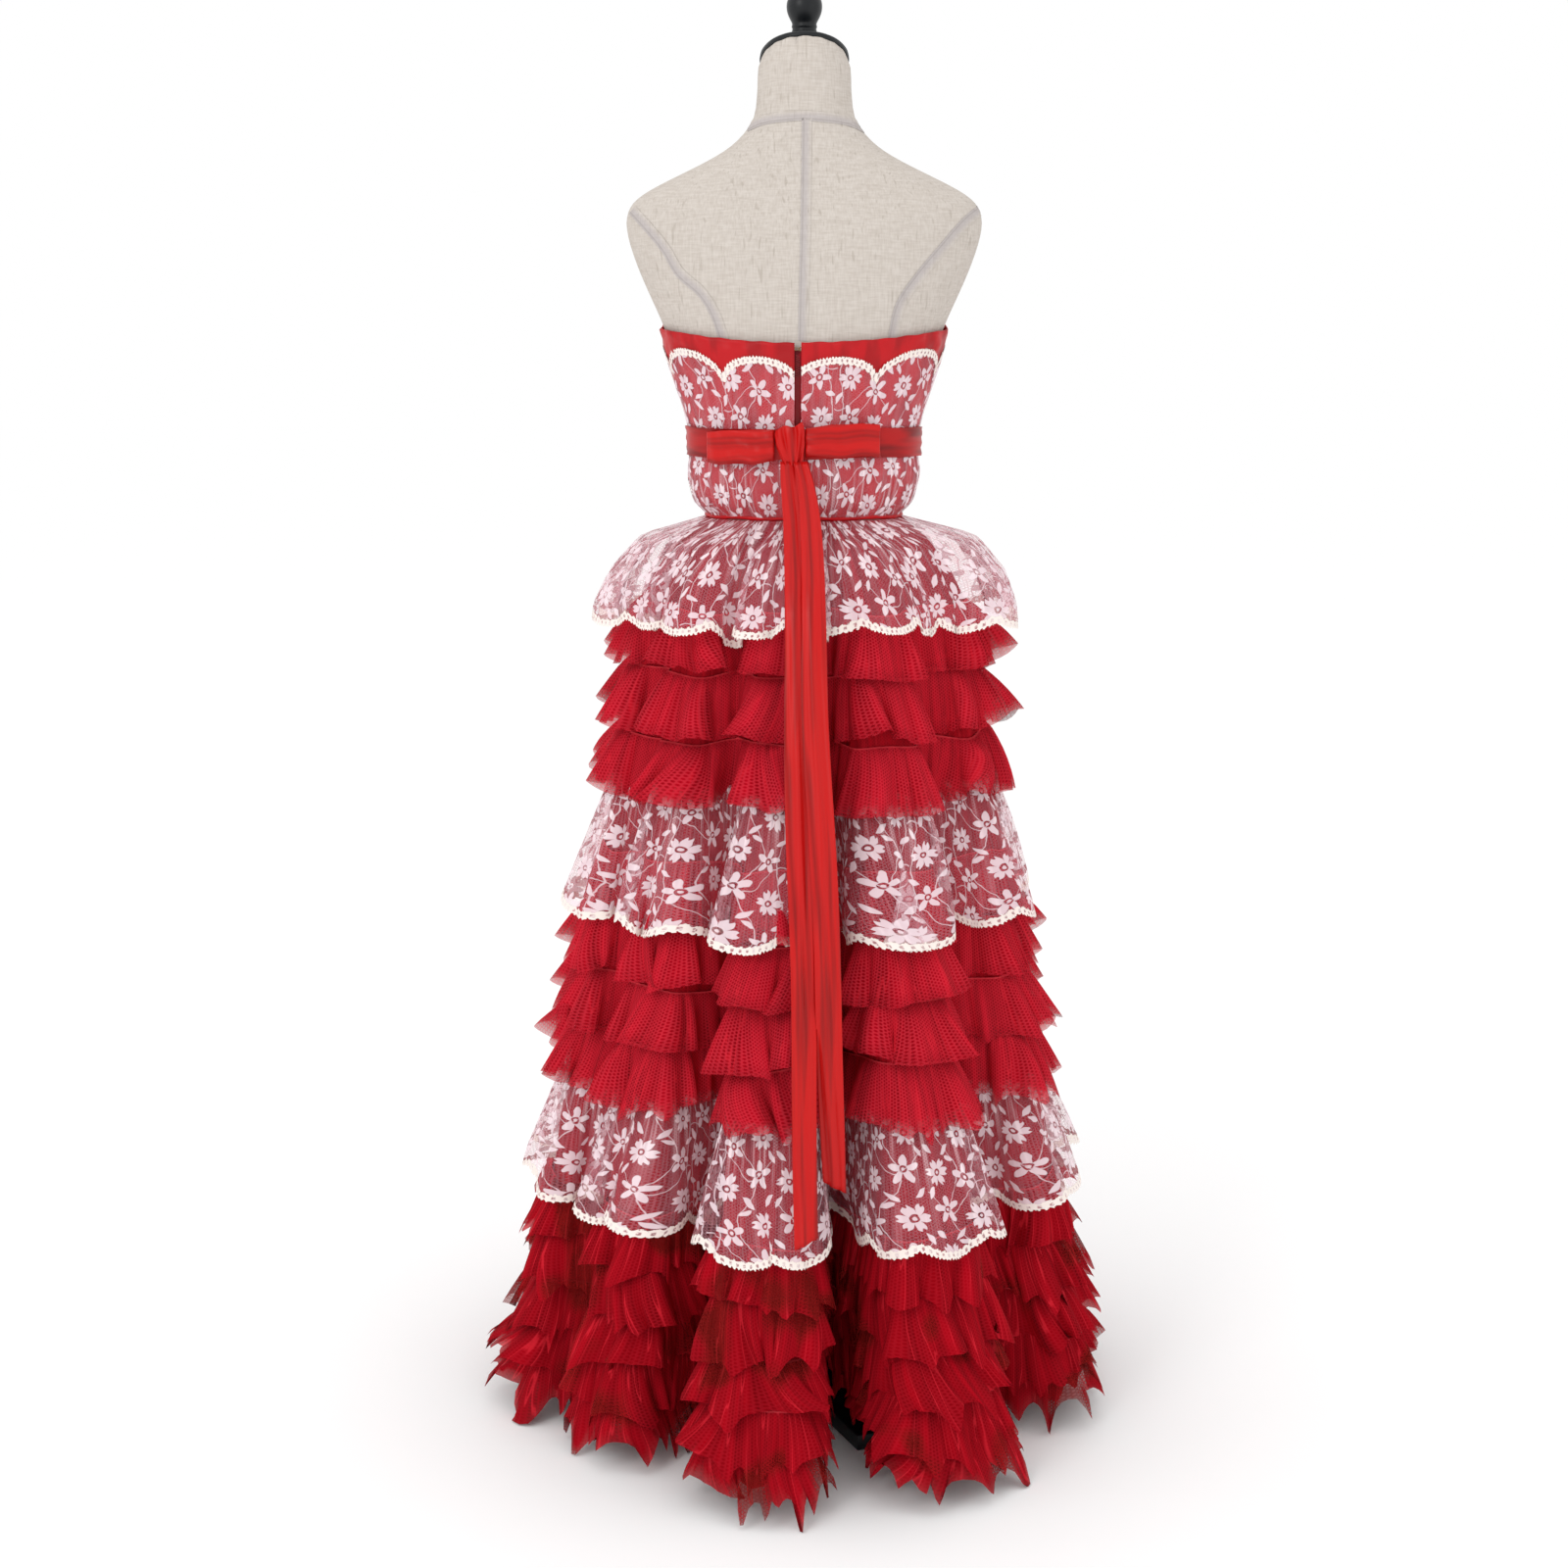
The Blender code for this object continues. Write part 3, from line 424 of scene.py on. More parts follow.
# soft unevenness: a few waves at random turns, of about the given length
def ripple(x, y, seed, length, waves=6):
    draw = np.random.default_rng(seed)
    total = 0.0
    for _ in range(waves):
        turn = draw.uniform(0, 2 * math.pi)
        step = 2 * math.pi / (length * draw.uniform(0.6, 1.6))
        total = total + np.sin(step * (x * math.cos(turn) + y * math.sin(turn)) + draw.uniform(0, 6.28))
    return total / math.sqrt(waves)


# cubic through the rows of a table whose first column is height
def curveValue(rows, column, z):
    rows = np.asarray(rows)
    heights, values = rows[:, 0], rows[:, column]
    slopes = np.empty(len(heights))
    slopes[1:-1] = (values[2:] - values[:-2]) / (heights[2:] - heights[:-2])
    slopes[0] = (values[1] - values[0]) / (heights[1] - heights[0])
    slopes[-1] = (values[-1] - values[-2]) / (heights[-1] - heights[-2])
    z = np.clip(z, heights[0], heights[-1])
    i = np.clip(np.searchsorted(heights, z) - 1, 0, len(heights) - 2)
    step = heights[i + 1] - heights[i]
    t = (z - heights[i]) / step
    return (
        (1 + 2 * t) * (1 - t) ** 2 * values[i]
        + t * (1 - t) ** 2 * step * slopes[i]
        + t * t * (3 - 2 * t) * values[i + 1]
        + t * t * (t - 1) * step * slopes[i + 1]
    )


# Body sections: height, half width, depth behind, depth in front

sectionPower = 2.25
bust = {"side": 0.072, "z": 1.140, "width": 0.050, "height": 0.046}
bodiceSections = (
    (0.9885, 0.1060, 0.0780, 0.0810),
    (0.9935, 0.1060, 0.0780, 0.0810),
    (1.0040, 0.1150, 0.0840, 0.0870),
    (1.0170, 0.1200, 0.0870, 0.0900),
    (1.0380, 0.1240, 0.0890, 0.0950),
    (1.0540, 0.1235, 0.0895, 0.0990),
    (1.0860, 0.1250, 0.0910, 0.1060),
    (1.1220, 0.1355, 0.0950, 0.1120),
    (1.1640, 0.1490, 0.0970, 0.1150),
    (1.2300, 0.1640, 0.0980, 0.1120),
)


# angle 0 is +X and a quarter turn is the back, +Y
def bodyPoints(sections, depthOfBust, angle, z):
    angle, z = np.broadcast_arrays(np.asarray(angle, float), np.asarray(z, float))
    c, s = np.cos(angle), np.sin(angle)
    half = curveValue(sections, 1, z)
    depth = np.where(s >= 0, curveValue(sections, 2, z), curveValue(sections, 3, z))
    power = 2 / sectionPower
    x = half * np.sign(c) * np.abs(c) ** power
    y = depth * np.sign(s) * np.abs(s) ** power
    across = (np.abs(x) - bust["side"]) / bust["width"]
    up = (z - bust["z"]) / bust["height"]
    cup = depthOfBust * np.exp(-across * across - up * up) * np.clip(-2 * s, 0, 1)
    return np.stack((x, y - cup, z), -1)


# a point at a distance out of the bodice, square to it
def bodicePoints(angle, z, out):
    turn, rise, cups = 0.03, 0.004, 0.031
    body = functools.partial(bodyPoints, bodiceSections, cups)
    along = body(angle + turn, z) - body(angle - turn, z)
    up = body(angle, z + rise) - body(angle, z - rise)
    up[..., 2] = 2 * rise
    outward = np.cross(along, up)
    outward /= np.linalg.norm(outward, axis=-1, keepdims=True)
    return body(angle, z) + outward * np.asarray(out)[..., None]


def backAngle(x, z):
    half = curveValue(bodiceSections, 1, np.asarray(z, float))
    return np.arccos(np.sign(x) * (np.abs(x) / half) ** (sectionPower / 2))


def neckline(angle):
    s = np.sin(angle)
    back = 1.188 - 0.014 * s * s
    rise = np.sin(np.minimum(1.0, -s / 0.55) * math.pi / 2) ** 2
    dip = np.maximum(0.0, (-s - 0.72) / 0.28) ** 2
    return np.where(s >= 0, back, 1.188 + 0.024 * rise - 0.016 * dip)


# Skirt: the lines that it hangs in, smoothed between the solids' own lines

folds = (
    # ridge turn and reach, trough turn and reach after it, swing of the peplum
    (-8, 0.367, 9, 0.160, 0.024),
    (26, 0.366, 48, 0.230, 0.028),
    (72, 0.330, 90, 0.250, 0.046),
    (106, 0.325, 121, 0.240, 0.050),
    (136, 0.330, 151, 0.230, 0.034),
    (166, 0.335, 181, 0.230, 0.030),
    (196, 0.335, 210, 0.230, 0.032),
    (225, 0.330, 240, 0.240, 0.034),
    (255, 0.325, 270, 0.250, 0.038),
    (286, 0.330, 302, 0.280, 0.034),
    (315, 0.315, 333, 0.200, 0.026),
)
flank = ((0.00, 0.00, 0.25), (0.38, 0.50, 0.55), (0.60, 0.97, 1.00))
skirt = {"waistZ": 0.9885, "hipZ": 0.900, "hemZ": 0.012, "lift": 0.056, "liftBelow": 0.300}
hipOval = (0.172, 0.145, 0.134)
waistOval = (0.1060, 0.0780, 0.0810)
subSteps = 24


def direction(turn):
    a = math.radians(turn)
    return np.array((-math.sin(a), math.cos(a)))


def oval(turn, halfWidth, back, front):
    way = direction(turn)
    depth = back if way[1] >= 0 else front
    total = abs(way[0] / halfWidth) ** sectionPower + abs(way[1] / depth) ** sectionPower
    return way * total ** (-1 / sectionPower)


def skirtLines():
    rows = []
    for i, (turn, reach, nextTurn, nextReach, swing) in enumerate(folds):
        lastTurn, lastReach = folds[i - 1][2] - (360 if i == 0 else 0), folds[i - 1][3]
        sides = [(lastTurn, lastReach, row) for row in flank]
        sides += [(nextTurn, nextReach, row) for row in flank[:0:-1]]
        for troughTurn, troughReach, (turnShare, depthShare, openness) in sides:
            way = troughTurn + (turn - troughTurn) * turnShare
            hip = oval(way, *hipOval)
            hip = hip + hip / np.linalg.norm(hip) * (-0.007 + 0.013 * depthShare)
            hem = direction(way) * (troughReach + (reach - troughReach) * depthShare)
            sideSwing = swing * (0.55 + 0.45 * depthShare)
            rows.append((*oval(way, *waistOval), *hip, *hem, openness, sideSwing, 0.0))
    rows = np.array(rows)
    # the hem is lifted at one trough behind, as in the solids
    rows[5, 8] = skirt["lift"]
    rows[(4, 6), 8] = skirt["lift"] / 2
    return rows


# periodic Catmull-Rom through the lines
def smoothLines(rows):
    t = np.arange(subSteps)[:, None] / subSteps
    before, here = np.roll(rows, 1, 0), rows
    after, second = np.roll(rows, -1, 0), np.roll(rows, -2, 0)
    parts = []
    for a, b, c, d in zip(before, here, after, second):
        square, cube = 2 * a - 5 * b + 4 * c - d, 3 * b - a - 3 * c + d
        parts.append(0.5 * (2 * b + (c - a) * t + square * t * t + cube * t ** 3))
    dense = np.concatenate(parts)
    dense[:, 6] = np.clip(dense[:, 6], 0.2, 1.05)
    return dense


denseLines = smoothLines(skirtLines())


# values of the dense lines at fractional places along them
def linesAt(place):
    count = len(denseLines)
    low = np.floor(place).astype(int)
    share = (place - low)[..., None]
    return denseLines[low % count] * (1 - share) + denseLines[(low + 1) % count] * share


def flatPoints(line, z):
    z = np.asarray(z)[..., None]
    yoke = np.interp(-z, (-0.9885, -0.962, -0.930, -0.900), (0.0, 0.46, 0.80, 1.0))
    upper = line[..., 0:2] * (1 - yoke) + line[..., 2:4] * yoke
    share = (skirt["hipZ"] - z) / (skirt["hipZ"] - skirt["hemZ"])
    lower = line[..., 2:4] * (1 - share) + line[..., 4:6] * share
    return np.where(z >= skirt["hipZ"], upper, lower)


# a point of the skirt: place along the lines, height, and distance out of the base
def skirtPoints(place, z, out):
    line = linesAt(place)
    step = 5.0
    ahead, behind = flatPoints(linesAt(place + step), z), flatPoints(linesAt(place - step), z)
    along = ahead - behind
    along /= np.linalg.norm(along, axis=-1, keepdims=True)
    flat = flatPoints(line, z)
    rise = line[..., 8] * np.maximum(0.0, 1 - z / skirt["liftBelow"]) ** 2
    x = flat[..., 0] + along[..., 1] * out
    y = flat[..., 1] - along[..., 0] * out
    return np.stack((x, y, z + rise), -1)


# places evenly spaced along the skirt at one height, and the run of cloth to each
def evenPlaces(z, spacing):
    place = np.arange(len(denseLines) + 1, dtype=float)
    points = skirtPoints(place, np.full(len(place), z), 0.0)
    run = runAlong(points)
    columns = int(round(run[-1] / spacing))
    return np.interp(np.linspace(0, run[-1], columns + 1), run, place), run[-1]


# random flutes along a run: for each column its share of a flute, and the flute's own numbers
def fluteRow(run, total, mean, draw):
    ends = [0.0]
    while ends[-1] < total - mean * 0.6:
        ends.append(ends[-1] + mean * float(np.clip(draw.lognormal(0, 0.42), 0.45, 2.2)))
    ends = np.array(ends) * total / ends[-1]
    which = np.clip(np.searchsorted(ends, run, side="right") - 1, 0, len(ends) - 2)
    share = (run - ends[which]) / (ends[which + 1] - ends[which])
    width = ends[which + 1] - ends[which]
    return which, share, width, len(ends) - 1


# how far down cloth of a given length reaches where it also stands out
def hangingDrop(deep, out):
    return np.sqrt(np.maximum(deep ** 2 - np.minimum(out, 0.75 * deep) ** 2, 0))


# one gathered ruffle. Its flat cut is the length of its edge seen in plan, with every flute opened out,
# and its mean depth
def makeRuffle(name, points, cut, material, slot, node, under, closed=True, **maps):
    thing = makeSheet(name, points[:, :-1] if closed else points, material, closed=closed, **maps)
    flat = round(float(runAlong(points[-1, :, :2])[-1]), 3), round(float(cut.mean()), 4)
    declare(thing, slot, node, flat=flat, held="gathered", rests_on=[under])
    return flat


# the maps of a lace ruffle: ease is the cloth gathered into each metre of its run
def laceMaps(run, ease, down, cut):
    edges = together(run * ease, distanceToEdge(cut, down, run))
    return {"Cloth": together(run * ease, down * cut), "Edge": edges}


netRuffles = (
    # seam, edge, flare, mean flute, ragged edge, length of the pointed tips, lean of the flutes
    (0.900, 0.836, 0.021, 0.026, 0.003, 0.000, 0.10),
    (0.834, 0.769, 0.021, 0.028, 0.003, 0.000, 0.10),
    (0.765, 0.700, 0.021, 0.028, 0.004, 0.002, 0.10),
    (0.635, 0.571, 0.008, 0.016, 0.004, 0.003, 0.10),
    (0.568, 0.508, 0.020, 0.028, 0.005, 0.006, 0.12),
    (0.505, 0.445, 0.021, 0.028, 0.006, 0.007, 0.14),
    (0.442, 0.381, 0.021, 0.030, 0.007, 0.011, 0.14),
    (0.268, 0.214, 0.016, 0.021, 0.007, 0.013, 0.16),
    (0.216, 0.160, 0.017, 0.021, 0.007, 0.016, 0.18),
    (0.160, 0.110, 0.017, 0.021, 0.007, 0.018, 0.20),
    (0.109, 0.060, 0.016, 0.020, 0.007, 0.020, 0.20),
    (0.068, 0.030, 0.014, 0.017, 0.005, 0.032, 0.20),
)
laceRuffles = {
    "lace_ruffle_upper": {"seam": 0.716, "edge": 0.568, "flare": 0.026, "flute": 0.058},
    "lace_ruffle_lower": {"seam": 0.390, "edge": 0.260, "flare": 0.024, "flute": 0.062},
}
netSizes = {"spacing": 0.0030, "swell": 0.085, "tuck": 0.0075, "lowest": 0.0018}
laceSizes = {"spacing": 0.0036, "scallop": 0.066, "hollow": 0.006, "swell": 0.013}


# flutes along a whole run: the wave, and each flute's size, lean and extra length
def fluted(place, total, mean, seed, sharp, leaning=0.33):
    draw = np.random.default_rng(seed)
    run = np.linspace(0, total, len(place))
    which, share, width, count = fluteRow(run, total, mean, draw)
    size = draw.uniform(0.55, 1.25, count)[which] * width
    lean = draw.normal(0, leaning, count)[which] * width
    extra = draw.uniform(-0.4, 1.0, count)[which]
    # each flute is fullest to one side or the other of its middle
    share = share ** draw.choice((0.65, 0.85, 1.2, 1.5), count)[which]
    wave = 1 - 2 * np.abs(2 * share - 1) ** sharp
    for row in (wave, size, lean, extra):
        row[-1] = row[0]
    # the flutes' own numbers change gradually where two of them meet
    soft = np.hanning(7) / np.hanning(7).sum()
    lean = np.convolve(np.pad(lean[:-1], 3, mode="wrap"), soft, "valid")
    lean = np.append(lean, lean[0])
    return run, wave, size, lean, extra


def makeTier(number, material):
    seam, edge, flare, mean, ragged, tips, leaning = netRuffles[number - 1]
    place, total = evenPlaces(edge, netSizes["spacing"])
    run, wave, size, lean, extra = fluted(place, total, mean, 100 + number, 1.4, leaning)
    _, swell, wide, sway, longer = fluted(place, total, netSizes["swell"], 300 + number, 2.4)
    crest = np.maximum(wave, 0)
    # a pointed tip on many flutes, because net cut by hand hangs in corners there
    point = np.maximum(0, (wave + 1) / 2) ** 2.6 * np.clip(extra + 0.45, 0, 1.2)
    cut = (seam - edge) * 1.06 + ragged * extra * (0.4 + 0.6 * crest)
    cut = cut + tips * point + 0.005 * longer - 0.002
    down = np.array((0.0, 0.05, 0.14, 0.28, 0.44, 0.60, 0.76, 0.89, 1.0))[:, None]
    openness = linesAt(place)[:, 6]
    uneven = 1 + 0.22 * ripple(run, 0, number, 0.35, 4)
    stand = flare * openness * uneven * down ** 0.8
    depth = 0.38 * size * openness * down ** 0.8 * wave
    billow = 0.10 * wide * openness * down * swell
    out = np.maximum(0.0014 + stand + depth + billow, 0.0010 + 0.005 * openness * down)
    # small tucks where the net is gathered into its seam
    fan = np.exp(-((down - 0.05) / 0.11) ** 2)
    out = out + 0.0009 * np.sin(run * 2 * math.pi / netSizes["tuck"] + 3 * np.sin(run * 40)) * fan
    deep = down * cut
    shift = (lean * down ** 1.5 + 0.16 * sway * down ** 1.4) * (len(denseLines) / total)
    droop = 0.0042 * ripple(run, 0, 50 + number, 0.13, 4)
    z = np.maximum(seam + droop - hangingDrop(deep, out), 0.0022)
    points = skirtPoints(place + shift, z, out)
    points[..., 2] = np.maximum(points[..., 2], netSizes["lowest"])
    maps = {"Cloth": together(run * 1.25, deep), "Edge": together(run, cut - deep)}
    name, node = f"tulle_{number:02d}", f"tulle_ruffle_{number:02d}"
    return makeRuffle(name, points, cut, material, "red_net", node, "net_base", **maps)


# scallops along a run of lace: 0 at the cusps between them and 1 at the fullest
def scallops(run, pitch, flatness=0.62):
    return np.abs(np.sin(math.pi * run / pitch)) ** flatness


def distanceToEdge(cut, down, run):
    slope = np.gradient(cut, run)
    return (1 - down) * cut / np.sqrt(1 + np.clip(slope, -2, 2) ** 2)


def makeLaceTier(name, material, seed):
    size = laceRuffles[name]
    ease = 1.12
    place, total = evenPlaces(size["edge"], laceSizes["spacing"])
    run, wave, width, lean, _ = fluted(place, total, size["flute"], seed, 1.9)
    scallop = scallops(run, total / round(total * ease / laceSizes["scallop"]))
    cut = (size["seam"] - size["edge"]) * 1.02 - laceSizes["hollow"] + laceSizes["swell"] * scallop
    down = np.concatenate((np.linspace(0, 0.9, 13), (0.94, 0.97, 1.0)))[:, None]
    openness = linesAt(place)[:, 6]
    stand = size["flare"] * openness * down ** 0.8
    depth = 0.17 * width * openness * down
    out = 0.0022 + stand + depth * (wave * 0.8 + 0.1)
    out = np.maximum(out, 0.0022 + 0.007 * openness * down)
    shift = lean * down ** 2 / total * len(denseLines) * 0.35
    points = skirtPoints(place + shift, size["seam"] - hangingDrop(down * cut, out), out)
    maps = laceMaps(run, ease, down, cut)
    piece = name.replace("ruffle_", "")
    return makeRuffle(piece, points, cut, material, "white_lace", name, "net_base", **maps)


# start and gap are counted in lines of the solids' skirt
peplum = {"start": 5.0, "gap": 0.06, "top": 0.9885, "cut": 0.118, "flute": 0.066, "spacing": 0.0028}


def makePeplum(material):
    start = (peplum["start"] + peplum["gap"]) * subSteps
    end = start + (len(denseLines) - 2 * peplum["gap"] * subSteps)
    span = np.linspace(start, end, 1400)
    run = runAlong(skirtPoints(span, np.full(len(span), 0.90), 0.03))
    total = run[-1]
    columns = int(total / peplum["spacing"])
    place = np.interp(np.linspace(0, total, columns), run, span)
    run, wave, width, lean, _ = fluted(place, total, peplum["flute"], 41, 1.8)
    line = linesAt(place)
    ease = 1.2
    scallop = scallops(run + 0.01, total / round(total * ease / laceSizes["scallop"]))
    unevenness = ripple(run, 0, 12, 0.28, 4)
    cut = peplum["cut"] - laceSizes["hollow"] + laceSizes["swell"] * scallop + 0.006 * unevenness
    down = np.concatenate((np.linspace(0, 0.90, 15), (0.94, 0.97, 1.0)))[:, None]
    swing = np.interp(down * peplum["cut"], (0, 0.035, 0.10, 0.13), (0, 1.0, 0.86, 0.82)) * line[:, 7]
    stand = 0.012 * line[:, 6] * np.minimum(1, down * 1.6)
    depth = 0.15 * width * np.minimum(1.0, down * 1.1) * (0.35 + 0.65 * line[:, 6])
    out = 0.0018 + swing + stand + depth * wave
    fine = 0.0011 * np.sin(run * 2 * math.pi / 0.013 + 2 * np.sin(run * 31)) * np.exp(-(down / 0.25) ** 2)
    out = np.maximum(out + fine, 0.0016)
    deep = down * cut
    bulge = np.gradient(out, deep[:, 0], axis=0)
    stepDown = np.sqrt(np.clip(1 - np.clip(bulge, -0.8, 0.8) ** 2, 0.2, 1))
    falls = np.diff(deep, axis=0) * (stepDown[1:] + stepDown[:-1]) / 2
    drop = np.concatenate((np.zeros((1, columns)), np.cumsum(falls, axis=0)))
    shift = lean * down ** 2 / total * len(denseLines) * 0.25
    points = skirtPoints(place + shift, peplum["top"] - drop, out)
    told = ("white_lace", "peplum", "tulle_01", False)
    return makeRuffle("lace_peplum", points, cut, material, *told, **laceMaps(run, ease, down, cut))


def makeBase(material):
    place, total = evenPlaces(0.3, 0.008)
    run = np.linspace(0, total, len(place))
    hem = 0.036 + 0.010 * ripple(run, 0, 6, 0.045)
    hem[-1] = hem[0]
    share = np.linspace(0, 1, 24)[:, None]
    yoke = np.linspace(skirt["waistZ"], skirt["hipZ"], 8)[:, None] + 0 * run
    z = np.concatenate((yoke, 0.86 + (hem - 0.86) * share))
    out = -0.0006 + 0.0012 * ripple(place * 0.01, z, 5, 0.12)
    points = skirtPoints(place + 0 * z, z, out)
    maps = together(run, 0.02 + (skirt["waistZ"] - z))
    thing = makeSheet("net_base", points[:, :-1], material, closed=True, Cloth=maps)
    flat = (round(total, 3), 0.955)
    declare(thing, "red_net", "skirt_base", flat=flat, held="gathered", rests_on=["form_torso"])
    return flat


# Bodice

panels = {
    # each end is an angle, or at the zip a fixed x in a tuple. The scallops along the top of the lace have
    # a pitch, and an offset says how far the first of them is under way at its start
    "back_left": {"ends": (0.003, (0.0107,)), "columns": 90, "pitch": 0.086, "offset": 0.004},
    "back_right": {"ends": ((0.0036,), math.pi - 0.003), "columns": 96, "pitch": 0.094, "offset": 0.009},
    "front": {"ends": (math.pi + 0.003, math.tau - 0.003), "columns": 190, "pitch": 0.090, "offset": 0.030},
}
bodice = {"low": 0.9915, "rows": 56, "cloth": 0.0011}


def panelAngles(panel, z):
    low, high = [backAngle(end[0], z) if isinstance(end, tuple) else end for end in panel["ends"]]
    return low + (high - low) * np.linspace(0, 1, panel["columns"])


def laceTop(panel, angle):
    top = neckline(angle)
    run = runAlong(bodicePoints(angle, top, 0))
    # a panel that ends at the zip has its scallops counted from there
    fromStart = run[-1] - run if isinstance(panel["ends"][1], tuple) else run
    wave = scallops(fromStart + panel["offset"], panel["pitch"], 0.42)
    return top - 0.014 - 0.025 * (1 - wave), run


def makeBodice(satin, lace):
    flats = {}
    low = bodice["low"]
    share = np.linspace(0, 1, bodice["rows"])[:, None]
    for name, panel in panels.items():
        z = np.full(panel["columns"], 1.17)
        for _ in range(3):
            angle = panelAngles(panel, z)
            z = neckline(angle)
        heights = low + (z - low) * share
        angles = np.stack([panelAngles(panel, row) for row in heights])
        run = runAlong(bodicePoints(angle, z, 0))
        # drawn puckers above the band and small waves along the folded top edge
        pucker = 0.0007 * ripple(run, heights * 1.6, 31, 0.030) * np.clip((heights - 1.10) / 0.05, 0, 1)
        edgeWave = 0.0009 * ripple(run, 0, 32, 0.022) * (share > 0.97)
        heights[-1] += 0.0008 * ripple(run, 0, 33, 0.028)
        points = bodicePoints(angles, heights, np.clip(-0.0002 + pucker + edgeWave, -0.0012, 0.0010))
        thing = makeSheet("satin_" + name, points[::-1], satin, Cloth=together(run, heights - low)[::-1])
        told = {"flat": (round(float(run[-1]), 3), round(float((heights[-1] - low).max()), 3))}
        told.update(area=round(areaOf(thing), 4), held="stretched", rests_on=["form_torso"])
        applied(thing, "SOLIDIFY", thickness=bodice["cloth"], offset=-1.0)
        declare(thing, "red_satin", "bodice_" + name, **told)
        top, run = laceTop(panel, angle)
        heights = low + (top - low) * share
        angles = np.stack([panelAngles(panel, row) for row in heights])
        # loose small folds below the band, where the lace is drawn in
        loose = np.clip((1.052 - heights) / 0.02, 0, 1) * np.clip((heights - 0.992) / 0.012, 0, 1)
        fold = 0.0014 * np.abs(ripple(run * 2.2, heights * 0.35, 35, 0.030)) * loose
        out = 0.0011 + fold + 0.0003 * ripple(run, heights, 36, 0.03)
        points = bodicePoints(angles, heights, np.maximum(out, 0.0008))
        maps = together(run + 0.2 * len(name), heights - low)
        edges = together(run, distanceToEdge(top - low, share, run))
        thing = makeSheet("lace_" + name, points[::-1], lace, Cloth=maps[::-1], Edge=edges[::-1])
        told.update(area=round(areaOf(thing), 4), rests_on=["satin_" + name])
        declare(thing, "white_lace", "lace_bodice_" + name, **told)
        flats[name] = told["flat"]
    return flats


band = {"low": 1.0545, "high": 1.0860, "out": 0.0034}
ribbonDepth = 0.0003


def makeBand(ribbon):
    columns, rows = 320, 12
    angle = np.linspace(0, 2 * math.pi, columns + 1)
    share = np.linspace(0, 1, rows)[:, None]
    z = band["low"] + (band["high"] - band["low"]) * share
    run = runAlong(bodicePoints(angle, 1.07 + 0 * angle, 0))
    pull = 0.0006 * ripple(run * 0.25, z * 2.2, 51, 0.016)
    wander = 0.0008 * np.sin(angle * 3 + 1) + 0.0005 * np.sin(angle * 7)
    out = np.clip(band["out"] + pull, 0.0026, 0.0044)
    points = bodicePoints(angle + 0 * z, z + wander, out)
    maps = together(run, z - band["low"])
    # the band's ribbon is a darker copy of the bow's ribbon, as painted shade
    thing = makeSheet("ribbon_waist", points[::-1, :-1], ribbon, closed=True, Cloth=maps[::-1])
    flat = (round(float(run[-1]), 3), 0.0315)
    declare(thing, "red_ribbon", "ribbon_band", flat=flat, held="laid", rests_on=["lace_front"])
    return flat


# places on an upright sheet that follows the band across the back
def bowPoints(x, z, out):
    level = np.full(np.shape(x), 1.0860)
    points = bodicePoints(backAngle(x, level), level, out)
    points[..., 2] = z
    return points


bowLoops = {
    # x across, low and high edge of the ribbon
    "bow_loop_left": (
        (0.031, 1.0530, 1.0850),
        (0.052, 1.0490, 1.0850),
        (0.076, 1.0490, 1.0830),
        (0.096, 1.0500, 1.0820),
    ),
    "bow_loop_right": (
        (-0.001, 1.0560, 1.0860),
        (-0.026, 1.0560, 1.0900),
        (-0.050, 1.0565, 1.0905),
        (-0.074, 1.0570, 1.0900),
    ),
}


# how far the loops' back layer stands off the bodice, the half thickness of their ends, how far their
# front layer stands off, and the width of their ribbon
loopSizes = {"surface": band["out"] + 0.0012, "end": 0.0022, "front": 0.0046, "belly": 0.0032, "width": 0.032}


